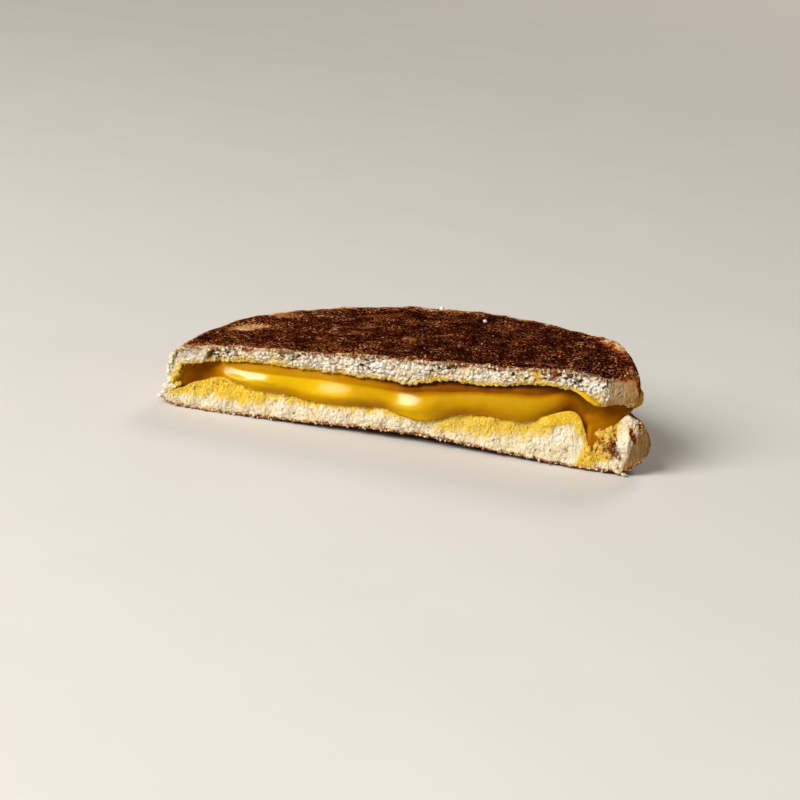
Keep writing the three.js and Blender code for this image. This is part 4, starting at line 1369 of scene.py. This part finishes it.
dress(surface_crumbs(), crumb, *UPPER_BREAD)
for name, ranges, spots in LUMPS:
    lumps = torn_lumps(name + "_lumps", spots, ranges, LUMP_SEED + len(spots))
    dress(lumps, crumb, *LOWER_BREAD)
for name, ranges, count, sizes, spots in HEAPS:
    grains = heap(name + "_crumbs", spots, count, sizes, ranges, HEAP_SEED + count)
    dress(grains, crumb, *LOWER_BREAD)
dress(drip("corner_drip", CORNER_DRIP, CORNER_RADII), cheese, *MELTED)
dress(drip("end_ooze", END_OOZE, OOZE_RADII, OOZE_DEPTH), cheese, *MELTED)


# ---- camera, light and floor -------------------------------------------------------------
def direction(azimuth, elevation):
    """Unit vector from the part towards a place at these angles, azimuth 0 being in front."""
    az, el = math.radians(azimuth), math.radians(elevation)
    return np.array([math.sin(az) * math.cos(el), -math.cos(az) * math.cos(el), math.sin(el)])


def aim_camera(azimuth, elevation, roll, distance, aim, lens):
    """Camera on a ball round the aim point, turned about its own line of sight by roll."""
    turn = math.radians(roll)
    back = direction(azimuth, elevation)
    right = unit(np.cross(-back, [0, 0, 1]))
    up = np.cross(back, right)
    data = bpy.data.cameras.new("camera")
    data.lens = lens
    data.sensor_width = 36
    camera = bpy.data.objects.new("camera", data)
    bpy.context.scene.collection.objects.link(camera)
    place = np.eye(4)
    place[:3, 0] = right * math.cos(turn) + up * math.sin(turn)
    place[:3, 1] = up * math.cos(turn) - right * math.sin(turn)
    place[:3, 2] = back
    place[:3, 3] = (np.array(aim) + back * distance) * MM
    camera.matrix_world = Matrix(place)
    bpy.context.scene.camera = camera


def soft_light(name, azimuth, elevation, distance, size, power, colour):
    """A square soft box on a ball round the part, facing its middle."""
    data = bpy.data.lights.new(name, "AREA")
    data.size = size * MM
    data.energy = power
    data.color = colour
    light = bpy.data.objects.new(name, data)
    bpy.context.scene.collection.objects.link(light)
    light.location = direction(azimuth, elevation) * distance * MM
    light.rotation_euler = (math.radians(90 - elevation), 0, math.radians(azimuth))


aim_camera(azimuth=2.5, elevation=16.0, roll=8.2, distance=572.0, aim=(-3.0, BACKSET, 2.3), lens=100.0)
soft_light("key", -40, 33, 1500, 760, 32.5, (1.0, 0.97, 0.935))
soft_light("fill", 36, 22, 1700, 900, 1.8, (1.0, 0.96, 0.90))
soft_light("rim", 165, 34, 2600, 730, 18.0, (1.0, 0.93, 0.82))

world = bpy.data.worlds.new("room")
world.use_nodes = True
world.node_tree.nodes["Background"].inputs["Color"].default_value = (1.0, 0.95, 0.88, 1)
world.node_tree.nodes["Background"].inputs["Strength"].default_value = 0.11
bpy.context.scene.world = world
bpy.context.scene.view_settings.view_transform = "Standard"

FLOOR_RADIUS, FLOOR_SIDES = 6000, 64


def floor_piece():
    """A large pale round floor, a fan of triangles."""
    index = np.arange(FLOOR_SIDES)
    around = 2 * math.pi * index / FLOOR_SIDES
    rim = FLOOR_RADIUS * np.stack([np.cos(around), np.sin(around), 0 * around], axis=-1)
    points = np.concatenate([[[0, 0, 0]], rim])
    fans = np.stack([0 * index, index + 1, (index + 1) % FLOOR_SIDES + 1], axis=-1)
    piece = add_mesh("floor", points, np.zeros((0, 4), dtype=int), fans, {})
    s = Finish("pale_floor")
    colour = s.blend(s.mottle(40.0, 0, 1), srgb(221, 218, 213), srgb(218, 215, 210))
    s.set(base_color=colour, roughness=0.8)
    piece.data.materials.append(s.material)
    return piece


floor_piece()
